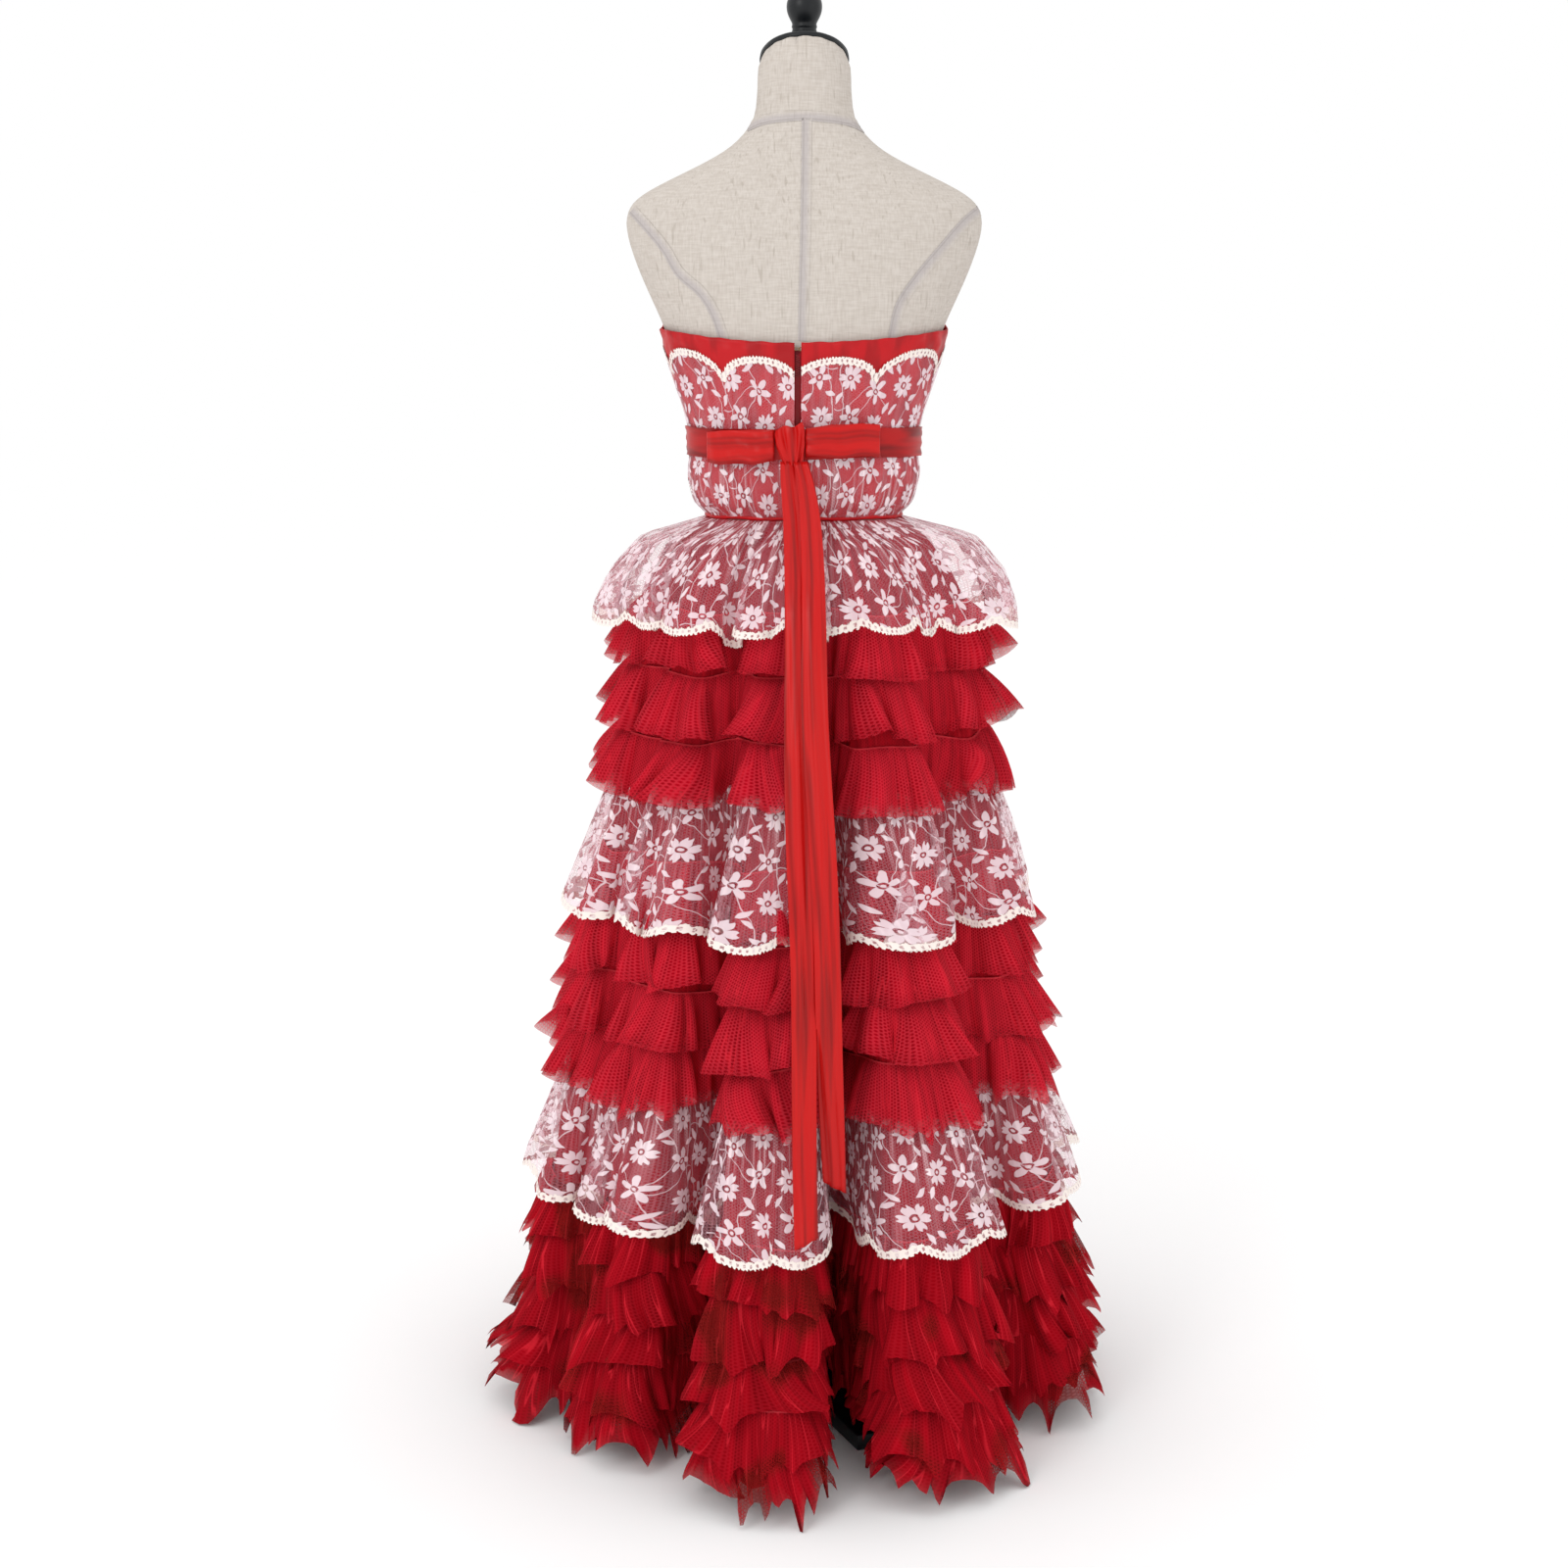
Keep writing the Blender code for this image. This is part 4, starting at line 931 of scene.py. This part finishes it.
def makeBow(ribbon):
    surface = loopSizes["surface"]
    rows = 13
    for seed, (name, stations) in enumerate(bowLoops.items(), 61):
        stations = np.array(stations)
        sign = math.copysign(1, stations[-1, 0])
        reach = np.abs(stations[:, 0])
        ahead = np.linspace(reach[0], reach[-1], 34)
        bend = np.linspace(-math.pi / 2, math.pi / 2, 9)[1:-1]
        across = np.concatenate((ahead, reach[-1] + loopSizes["end"] * np.cos(bend), ahead[::-1]))
        side = np.concatenate((0 * ahead, 0.5 + 0.5 * np.sin(bend), 0 * ahead + 1))
        share = np.linspace(0, 1, rows)[:, None]
        low = np.interp(across, reach, stations[:, 1])
        high = np.interp(across, reach, stations[:, 2])
        away = np.clip((across - reach[0]) / 0.03, 0, 1)
        # the loop's front stands off in the middle, and its lower edge waves over the back layer
        belly = np.sin(np.clip((across - reach[0]) / (reach[-1] - reach[0]), 0, 1) * math.pi) ** 0.7
        front = side * (loopSizes["front"] + loopSizes["belly"] * belly)
        low = low + side * 0.0014 * np.sin(across * 150 + seed) * away
        high = high - side * 0.0010 * np.sin(across * 110 + 2 * seed) * away
        # creases fan out from the knot
        crease = 0.0015 * np.sin(share * 15 + 2.5 * seed + 3 * np.sin(across * 60)) * (1 - away * 0.75)
        out = surface + front + crease * side + 0.0006 * ripple(across * 1.2, share * 0.03, seed, 0.02) * side
        points = bowPoints(sign * across + 0 * share, low + (high - low) * share, out)
        run = runAlong(points[rows // 2])
        maps = together(run, loopSizes["width"] * share)
        if sign > 0:
            points, maps = points[::-1], maps[::-1]
        thing = makeSheet(name.replace("bow_loop", "loop"), points, ribbon, Cloth=maps)
        applied(thing, "SOLIDIFY", thickness=ribbonDepth, offset=-1.0)
        flat = (round(float(run[-1]), 3), loopSizes["width"])
        declare(thing, "red_ribbon", name, flat=flat, held="folded", rests_on=["ribbon_waist"])
    # the knot: a turn of ribbon pressed flat, whose creases run together at its lower edge
    around = np.linspace(0, 2 * math.pi, 73)
    share = np.linspace(0, 1, 30)[:, None]
    half = 0.0095 + 0.0080 * share ** 0.8
    middle = 0.0118 + 0.0042 * share
    shut = np.sin(np.clip(share, 0.04, 0.96) * math.pi) ** 0.25
    flatSide = np.sign(np.cos(around)) * np.abs(np.cos(around)) ** 0.8
    fan = flatSide / (0.55 + 0.45 * share)
    crease = 0.0017 * np.sin(fan * 8 + 2 * share) + 0.0009 * np.sin(fan * 14 - 3 * share + 1)
    x = middle + half * flatSide * (0.55 + 0.45 * shut)
    out = surface + 0.0030 + 0.0042 * shut * np.sin(around) + crease * np.clip(np.sin(around), 0, 1)
    z = 1.0440 + 0.0445 * share - 0.0030 * flatSide * share + 0.0016 * np.sin(fan * 5)
    points = bowPoints(x, z, np.maximum(out, surface - 0.0008))
    maps = together(0.043 * share, np.linspace(0, 0.085, len(around)))
    thing = makeSheet("knot", points[::-1, :-1], ribbon, closed=True, Cloth=maps[::-1])
    told = {"flat": (0.085, 0.045), "area": round(areaOf(thing), 5), "held": "folded"}
    declare(thing, "red_ribbon", "bow_knot", rests_on=["ribbon_waist"], **told)


streamers = {
    # height, x across, width
    "streamer_left": (
        (1.0520, 0.0150, 0.020),
        (1.030, 0.0140, 0.021),
        (0.990, 0.0105, 0.024),
        (0.900, 0.0085, 0.0255),
        (0.800, 0.0070, 0.027),
        (0.650, 0.0050, 0.028),
        (0.450, 0.0010, 0.025),
        (0.290, -0.0010, 0.023),
    ),
    "streamer_right": (
        (1.0520, 0.0040, 0.016),
        (1.030, -0.0010, 0.018),
        (0.990, -0.0050, 0.022),
        (0.900, -0.0085, 0.024),
        (0.800, -0.0110, 0.026),
        (0.650, -0.0180, 0.028),
        (0.450, -0.0260, 0.026),
        (0.335, -0.0300, 0.023),
    ),
}
# the slice of skirt under a ribbon, half its height and width; the air between them, and between ribbons
hang = {"slice": 0.004, "reach": 0.016, "clear": 0.0028, "apart": 0.0042}


# heights and depths of a ribbon that hangs over what it touches
def hangingPath(start, low, touches):
    path = []
    for z, y in [start] + sorted(touches, reverse=True):
        if y < start[1] or z > start[0]:
            continue
        while len(path) > 1:
            (z0, y0), (z1, y1) = path[-2:]
            if (y1 - y0) * (z0 - z) > (y - y0) * (z0 - z1):
                break
            path.pop()
        path.append((z, y))
    furthest = max(y for z, y in path)
    path = path[: [y for z, y in path].index(furthest) + 1]
    return path + [(low, furthest)] if path[-1][0] > low else path


def depthAt(path, z):
    heights, depths = zip(*path[::-1])
    return np.interp(z, heights, depths)


def vertexPlaces(thing):
    places = np.empty(len(thing.data.vertices) * 3, dtype=np.float32)
    thing.data.vertices.foreach_get("co", places)
    return places.reshape(-1, 3)


def makeStreamers(ribbon, carriers):
    cloud = np.concatenate([vertexPlaces(bpy.data.objects[name]) for name in carriers])
    cloud = cloud[cloud[:, 1] > 0.05]
    under = None
    for seed, (name, stations) in enumerate(streamers.items(), 71):
        stations = np.array(stations)[::-1]
        low, top = stations[0, 0], stations[-1, 0]
        z = np.linspace(top, low, 150)
        x = curveValue(stations, 1, z)
        width = curveValue(stations, 2, z)
        touches = []
        for height in np.arange(low - 0.04, 1.0, 0.006):
            centre = float(np.interp(height, stations[:, 0], stations[:, 1]))
            level, beside = np.abs(cloud[:, 2] - height), np.abs(cloud[:, 0] - centre)
            near = cloud[(level < hang["slice"]) & (beside < hang["reach"])]
            if len(near):
                touches.append((max(float(height), low), float(near[:, 1].max()) + hang["clear"]))
        start = (top, float(bowPoints(x[0], top, 0.0052)[1]))
        if under:
            start = (top, start[1] + 0.0020)
            for height in np.linspace(top, 0.52, 30)[1:]:
                touches.append((float(height), depthAt(under, height) + hang["apart"]))
        under = hangingPath(start, low, touches)
        depth = depthAt(under, z)
        kernel = np.hanning(13) / np.hanning(13).sum()
        depth = np.maximum(depth, np.convolve(np.pad(depth, 6, mode="edge"), kernel, "valid"))
        run = runAlong(np.stack((z, depth), -1))
        share = np.linspace(-1, 1, 15)[:, None]
        # uneven creases run down the ribbon: one deep, others shallow, drifting across it
        ridge = 0.10 * np.sin(run * 9 + seed) + 0.15
        fold = 0.0034 * (1 - np.abs(share - ridge)) ** 3
        fine = 0.0007 * np.sin(share * 7 + 2 * np.sin(run * 14 + seed))
        fine = fine + 0.0005 * np.sin(share * 13 + run * 22)
        edge = 0.0010 * np.sin(run * 26 + seed) * share ** 2
        y = depth + fold + fine + edge
        # the ends are cut at a slant, each the other way
        slanted = share if name == "streamer_left" else -share
        slant = 0.013 * (slanted + 1) / 2 * np.clip((run / run[-1] - 0.93) / 0.07, 0, 1) ** 2
        sway = 0.0010 * np.sin(run * 17 + seed)
        xs = x + sway + share * width / 2 * (1 - 0.04 * np.sin(run * 12 + 2))
        points = together(xs, y, z - slant)
        maps = together(run, share * 0.0135)
        thing = makeSheet("ribbon_" + name.split("_")[1], points[::-1], ribbon, Cloth=maps[::-1])
        applied(thing, "SOLIDIFY", thickness=ribbonDepth, offset=-1.0)
        flat = (round(float(run[-1]), 3), 0.028)
        declare(thing, "red_ribbon", name, flat=flat, held="hung", rests_on=["knot"])


piping = {"z": 0.9910, "radius": 0.0022, "length": 0.62}


def makePiping(satin):
    around = np.linspace(0, 2 * math.pi, 181)
    ring = np.linspace(0, 2 * math.pi, 11)[:, None]
    centre = bodyPoints(bodiceSections, 0, around, piping["z"] + 0 * around)
    outward = centre * (1, 1, 0)
    outward /= np.linalg.norm(outward, axis=1, keepdims=True)
    size = piping["radius"] + 0.0002 * np.sin(around * 31)
    flat = centre[:, :2] + outward[:, :2] * (np.cos(ring) * size)[..., None]
    z = centre[:, 2] + np.sin(ring) * size + 0.0006 * np.sin(around * 9)
    points = np.concatenate((flat, z[..., None]), -1)
    maps = together(np.linspace(0, piping["length"], len(around)), ring * piping["radius"])
    thing = makeSheet("piping", points[:, :-1], satin, closed=True, Cloth=maps)
    declare(thing, "red_satin", "waist_piping")


# Zip behind the slot

zipper = {"x": 0.0072, "reach": 0.0085, "low": 1.018, "high": 1.166, "pitch": 0.0024, "out": -0.0026}
# a tooth's block, rounding and nose, how far it stands from the middle, and how deep it is sunk
tooth = {"block": (0.0022, 0.0010, 0.0011), "rim": 0.00022, "nose": 0.0007, "aside": 0.0012, "out": -0.0020}


def makeZip(tape, teeth):
    z = np.linspace(zipper["high"], zipper["low"], 40)[:, None]
    x = zipper["x"] + zipper["reach"] * np.linspace(-1, 1, 9)[::-1]
    x, z = np.broadcast_arrays(x, z)
    points = bodicePoints(backAngle(x, z), z, zipper["out"])
    thing = makeSheet("zip_cloth", points, tape, Cloth=np.stack((x, z), -1))
    flat = (0.017, round(zipper["high"] - zipper["low"], 3))
    declare(thing, "red_satin", "zip_tape", flat=flat, held="laid", rests_on=["satin_back_left"])
    # one tooth: a block with a nose that hooks behind its neighbour, and rounded edges
    deselectAll()
    bpy.ops.mesh.primitive_cube_add(size=1, location=(0, 0, 0), scale=tooth["block"])
    bpy.ops.object.transform_apply(scale=True)
    first = bpy.context.object
    mode("EDIT")
    bpy.ops.mesh.select_all(action="SELECT")
    bpy.ops.mesh.bevel(offset=tooth["rim"], segments=2)
    mode("OBJECT")
    nose = max(range(len(first.data.polygons)), key=lambda k: first.data.polygons[k].center.x)
    mode("EDIT")
    bpy.ops.mesh.select_mode(type="FACE")
    bpy.ops.mesh.select_all(action="DESELECT")
    mode("OBJECT")
    first.data.polygons[nose].select = True
    mode("EDIT")
    bpy.ops.mesh.inset(thickness=0.00010)
    bpy.ops.mesh.extrude_region_move(TRANSFORM_OT_translate={"value": (tooth["nose"], 0, 0)})
    mode("OBJECT")
    count = int((zipper["high"] - zipper["low"] - 0.006) / zipper["pitch"])
    made = []
    for k in range(count):
        for side in (-1, 1):
            height = zipper["low"] + 0.003 + zipper["pitch"] * (k + 0.25 * side)
            x = zipper["x"] + side * tooth["aside"]
            block = placed("tooth", first.data.copy())
            block.location = bodicePoints(backAngle(x, height), height, tooth["out"])
            block.rotation_euler = (0, 0, math.pi if side > 0 else 0)
            made.append(block)
    bpy.data.objects.remove(first)
    pick(made[0])
    for block in made:
        block.select_set(True)
    bpy.ops.object.join()
    bpy.ops.object.transform_apply(location=True, rotation=True, scale=True)
    row = bpy.context.object
    row.name = "zip_teeth"
    row.data.materials.append(teeth)
    declare(row, "red_satin")


# a wire bent along points, as a mesh
def makeWire(name, paths, thickness, material):
    curve = bpy.data.curves.new(name, "CURVE")
    curve.dimensions = "3D"
    curve.bevel_depth = thickness / 2
    curve.bevel_resolution = 3
    curve.use_fill_caps = True
    for path in paths:
        spline = curve.splines.new("NURBS")
        spline.points.add(len(path) - 1)
        for point, place in zip(spline.points, path):
            point.co = (*place, 1)
        spline.use_endpoint_u = True
        spline.order_u = 3
        spline.resolution_u = 5
    pick(placed(name, curve))
    bpy.ops.object.convert(target="MESH")
    thing = bpy.context.object
    thing.data.materials.append(material)
    thing.data.shade_smooth()
    return thing


# the wires of the hook and of the eye, in millimetres from the middle of their node
wires = (
    (
        *((4.0, 0, 1.4), (1.6, 0.3, 1.4), (-1.4, 0.5, 1.2), (-2.4, 0.6, 0.2), (-1.4, 0.5, -0.8)),
        *((1.2, 0.3, -1.0), (4.0, 0, -1.2), (4.6, 0, 0.1), (4.0, 0, 1.4)),
    ),
    (
        *((-4.2, 0, 1.6), (-2.4, 0.2, 1.8), (-0.9, 0.3, 0.8)),
        *((-0.9, 0.3, -0.7), (-2.4, 0.2, -1.7), (-4.2, 0, -1.5)),
    ),
)
wireThickness = 0.0009


def middleOf(node):
    low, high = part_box(node)
    return [(a + b) / 2 for a, b in zip(low, high)]


def makeHook(metal):
    middle = middleOf("hook_and_eye")
    paths = [[[c + v * mm for c, v in zip(middle, place)] for place in wire] for wire in wires]
    thing = makeWire("hook_wire", paths, wireThickness, metal)
    declare(thing, "hook_metal", "hook_and_eye")


# Dress form and stand

# a copy of a CAD node in one material, open for editing with its doubles merged
def nodeCopy(node, name, material):
    thing = placed(name, bpy.data.objects[node].data.copy())
    thing.data.materials.clear()
    thing.data.materials.append(material)
    pick(thing)
    mode("EDIT")
    bpy.ops.mesh.select_all(action="SELECT")
    bpy.ops.mesh.remove_doubles(threshold=0.00002)
    return thing


# a smooth copy of a CAD node, with its sharp rims kept by creases
def smoothCopy(node, name, material, levels, creaseAngle):
    thing = nodeCopy(node, name, material)
    bpy.ops.mesh.tris_convert_to_quads(face_threshold=0.7, shape_threshold=0.7)
    bpy.ops.mesh.select_all(action="DESELECT")
    bpy.ops.mesh.select_mode(type="EDGE")
    bpy.ops.mesh.edges_select_sharp(sharpness=creaseAngle)
    bpy.ops.transform.edge_crease(value=0.75)
    mode("OBJECT")
    applied(thing, "SUBSURF", levels=levels)
    thing.data.shade_smooth()
    slimNeck(thing)
    return thing


# the neck of the cover is a little slimmer than the solid: height, share of the width
neckWidths = (
    (1.300, 1.0),
    (1.345, 0.985),
    (1.385, 0.930),
    (1.406, 0.888),
    (1.431, 0.950),
    (1.457, 0.985),
    (1.470, 0.910),
    (1.480, 0.880),
)


def slimNeck(thing):
    places = vertexPlaces(thing)
    places[:, 0] *= curveValue(neckWidths, 1, places[:, 2])
    thing.data.vertices.foreach_set("co", places.reshape(-1))
    thing.data.update()


finialRings = (
    # height, radius
    (1.4748, 0.0168),
    (1.4790, 0.0160),
    (1.4840, 0.0118),
    (1.4930, 0.0112),
    (1.4975, 0.0140),
    (1.4995, 0.0120),
    (1.5020, 0.0142),
    (1.5045, 0.0122),
    (1.5090, 0.0150),
    (1.5160, 0.0184),
    (1.5240, 0.0193),
    (1.5320, 0.0172),
    (1.5380, 0.0115),
    (1.5410, 0.0040),
)


# turned wood: one disc, extruded up and resized ring by ring
def makeFinial(black):
    (low, radius), *others = finialRings
    x, y, _ = middleOf("form_finial")
    deselectAll()
    bpy.ops.mesh.primitive_circle_add(vertices=48, radius=radius, fill_type="NGON", location=(x, y, low))
    thing = bpy.context.object
    thing.name = "finial"
    mode("EDIT")
    bpy.ops.mesh.select_all(action="SELECT")
    for height, wide in others:
        bpy.ops.mesh.extrude_region_move(TRANSFORM_OT_translate={"value": (0, 0, height - low)})
        bpy.ops.transform.resize(value=(wide / radius, wide / radius, 1), center_override=(x, y, height))
        low, radius = height, wide
    bpy.ops.mesh.select_all(action="SELECT")
    bpy.ops.mesh.normals_make_consistent(inside=False)
    mode("OBJECT")
    bpy.ops.object.transform_apply(location=True, rotation=True, scale=True)
    applied(thing, "SUBSURF", levels=2)
    thing.data.shade_smooth()
    thing.data.materials.append(black)
    declare(thing, "black_lacquer", "form_finial")


# seams of the form's cover as seen from behind: x across and height
formSeams = {
    "centre": ((0.0010, 1.4040), (0.0015, 1.350), (0.0025, 1.290), (0.0040, 1.230), (0.0050, 1.176)),
    "neck": (
        (0.0600, 1.3940),
        (0.0440, 1.3990),
        (0.0220, 1.4015),
        (0.0010, 1.4025),
        (-0.0240, 1.4010),
        (-0.0460, 1.3985),
        (-0.0640, 1.3930),
    ),
    "left": (
        (0.1840, 1.3100),
        (0.1664, 1.2910),
        (0.1480, 1.2690),
        (0.1327, 1.2440),
        (0.1102, 1.2240),
        (0.0970, 1.2040),
        (0.0868, 1.1760),
    ),
    "right": (
        (-0.1880, 1.3170),
        (-0.1684, 1.3020),
        (-0.1429, 1.2740),
        (-0.1174, 1.2440),
        (-0.0970, 1.2140),
        (-0.0878, 1.1760),
    ),
}
seamBand = {"below": -0.0020, "above": 0.0084, "out": 0.0005}


def makeSeams(torso, material):
    tree = BVHTree.FromObject(torso, bpy.context.evaluated_depsgraph_get())
    for name, stations in formSeams.items():
        stations = np.array(stations)
        ends = runAlong(stations)
        run = np.linspace(0, ends[-1], 60)
        table = np.column_stack((ends, stations))
        x, z = curveValue(table, 1, run), curveValue(table, 2, run)
        along = np.stack((np.gradient(x), np.gradient(z)), -1)
        along /= np.linalg.norm(along, axis=1, keepdims=True)
        across = np.linspace(seamBand["below"], seamBand["above"], 5)
        points = np.zeros((len(across), len(run), 3))
        for row, off in enumerate(across):
            for k, (px, pz) in enumerate(zip(x + along[:, 1] * off, z - along[:, 0] * off)):
                spot = None
                # a seam that reaches the outline stops on it
                while spot is None:
                    spot, normal, *_ = tree.ray_cast(Vector((px, 0.5, pz)), Vector((0, -1, 0)))
                    px *= 0.99
                points[row, k] = spot + normal * seamBand["out"]
        thing = makeSheet("linen_seam_" + name, points, material, Cloth=together(run, across[:, None]))
        flat = (round(float(runAlong(points[1])[-1]), 3), seamBand["above"] - seamBand["below"])
        declare(thing, "linen", flat=flat, held="laid", rests_on=["linen_torso"])


def makeForm(linen, seamShadedLinen, black):
    torso = smoothCopy("form_torso", "linen_torso", linen, 2, math.radians(60))
    declare(torso, "linen", "form_torso")
    makeSeams(torso, seamShadedLinen)
    cap = smoothCopy("form_neck_cap", "neck_cap", black, 2, math.radians(40))
    declare(cap, "black_lacquer", "form_neck_cap")
    makeFinial(black)
    for node in ("stand_post", "stand_base"):
        thing = nodeCopy(node, node.replace("stand", "lacquered"), black)
        bpy.ops.mesh.dissolve_limited(angle_limit=math.radians(1))
        mode("OBJECT")
        rim = {"width": 0.0020, "segments": 3, "limit_method": "ANGLE", "angle_limit": math.radians(50)}
        applied(thing, "BEVEL", **rim)
        bpy.ops.object.shade_smooth_by_angle(angle=math.radians(40))
        declare(thing, "black_lacquer", node)


def main():
    makeStage()
    stage("stage and camera")
    linen = makeLinen("natural_linen", False)
    # the linen of the seam strips carries painted shade along each seam
    seamShadedLinen = makeLinen("natural_linen_seam_painted_shade", True)
    lacquer = {"Specular_IOR_Level": 0.3, "Coat_Weight": 0.12, "Coat_Roughness": 0.3}
    black = plainMaterial("black_lacquered_wood", "#0C0F13", 0.42, **lacquer)
    # the second colour of each satin is painted shade in its creases
    satin = makeSatin("crimson_satin", "#BA0C16", "#A20A12", (52, 15), 0.45, 0.0014)
    tape = makeSatin("dark_red_zip_cloth", "#8E0A1A", "#5E0610", (60, 60), 0.75, 0.0004)
    ribbon = makeSatin("scarlet_ribbon", "#C20A08", "#940605", (4, 96), 0.36, 0.0017)
    # the waist band is the bow's ribbon with darker colours, as painted shade
    shadedBandRibbon = makeSatin("scarlet_ribbon_band_painted_shade", "#AE0A0C", "#7A0608", (9, 60), 0.42, 0.0010)
    # the second colour of each net is painted shade in its streaks; the third is its lighter thread
    baseNet = makeTulle("red_net_underskirt", "#A80818", "#74040E", "#B4202C", 0.88, 0.0, 0.0)
    tulle = makeTulle("red_tulle", "#B4061C", "#8C0411", "#DC3A4A", 0.66, 0.0, 0.38)
    sheer = makeTulle("red_tulle_sheer", "#A00414", "#70030B", "#C42232", 0.80, 0.31, 0.14)
    lace = makeLace("white_floral_lace", 0.05, 0.55)
    teeth = plainMaterial("dyed_zip_teeth", "#7A1A1C", 0.45, Metallic=0.3)
    metal = plainMaterial("tarnished_brass_wire", "#8A6A4A", 0.4, Metallic=1.0)
    stage("materials")
    makeForm(linen, seamShadedLinen, black)
    stage("dress form and stand")
    flats = {"base": makeBase(baseNet)}
    for number in range(1, 13):
        flats[f"tulle {number}"] = makeTier(number, tulle if number < 8 else sheer)
    stage("tulle ruffles")
    flats["upper lace"] = makeLaceTier("lace_ruffle_upper", lace, 201)
    flats["lower lace"] = makeLaceTier("lace_ruffle_lower", lace, 202)
    flats["peplum"] = makePeplum(lace)
    stage("lace ruffles and peplum")
    flats.update(makeBodice(satin, lace))
    makeZip(tape, teeth)
    makeHook(metal)
    makePiping(satin)
    stage("bodice")
    flats["band"] = makeBand(shadedBandRibbon)
    makeBow(ribbon)
    carriers = ["lace_peplum", "lace_upper", "lace_lower"] + [f"tulle_{k:02d}" for k in range(1, 13)]
    makeStreamers(ribbon, carriers)
    stage("ribbons")
    for name, flat in flats.items():
        print("flat", name, flat)


main()
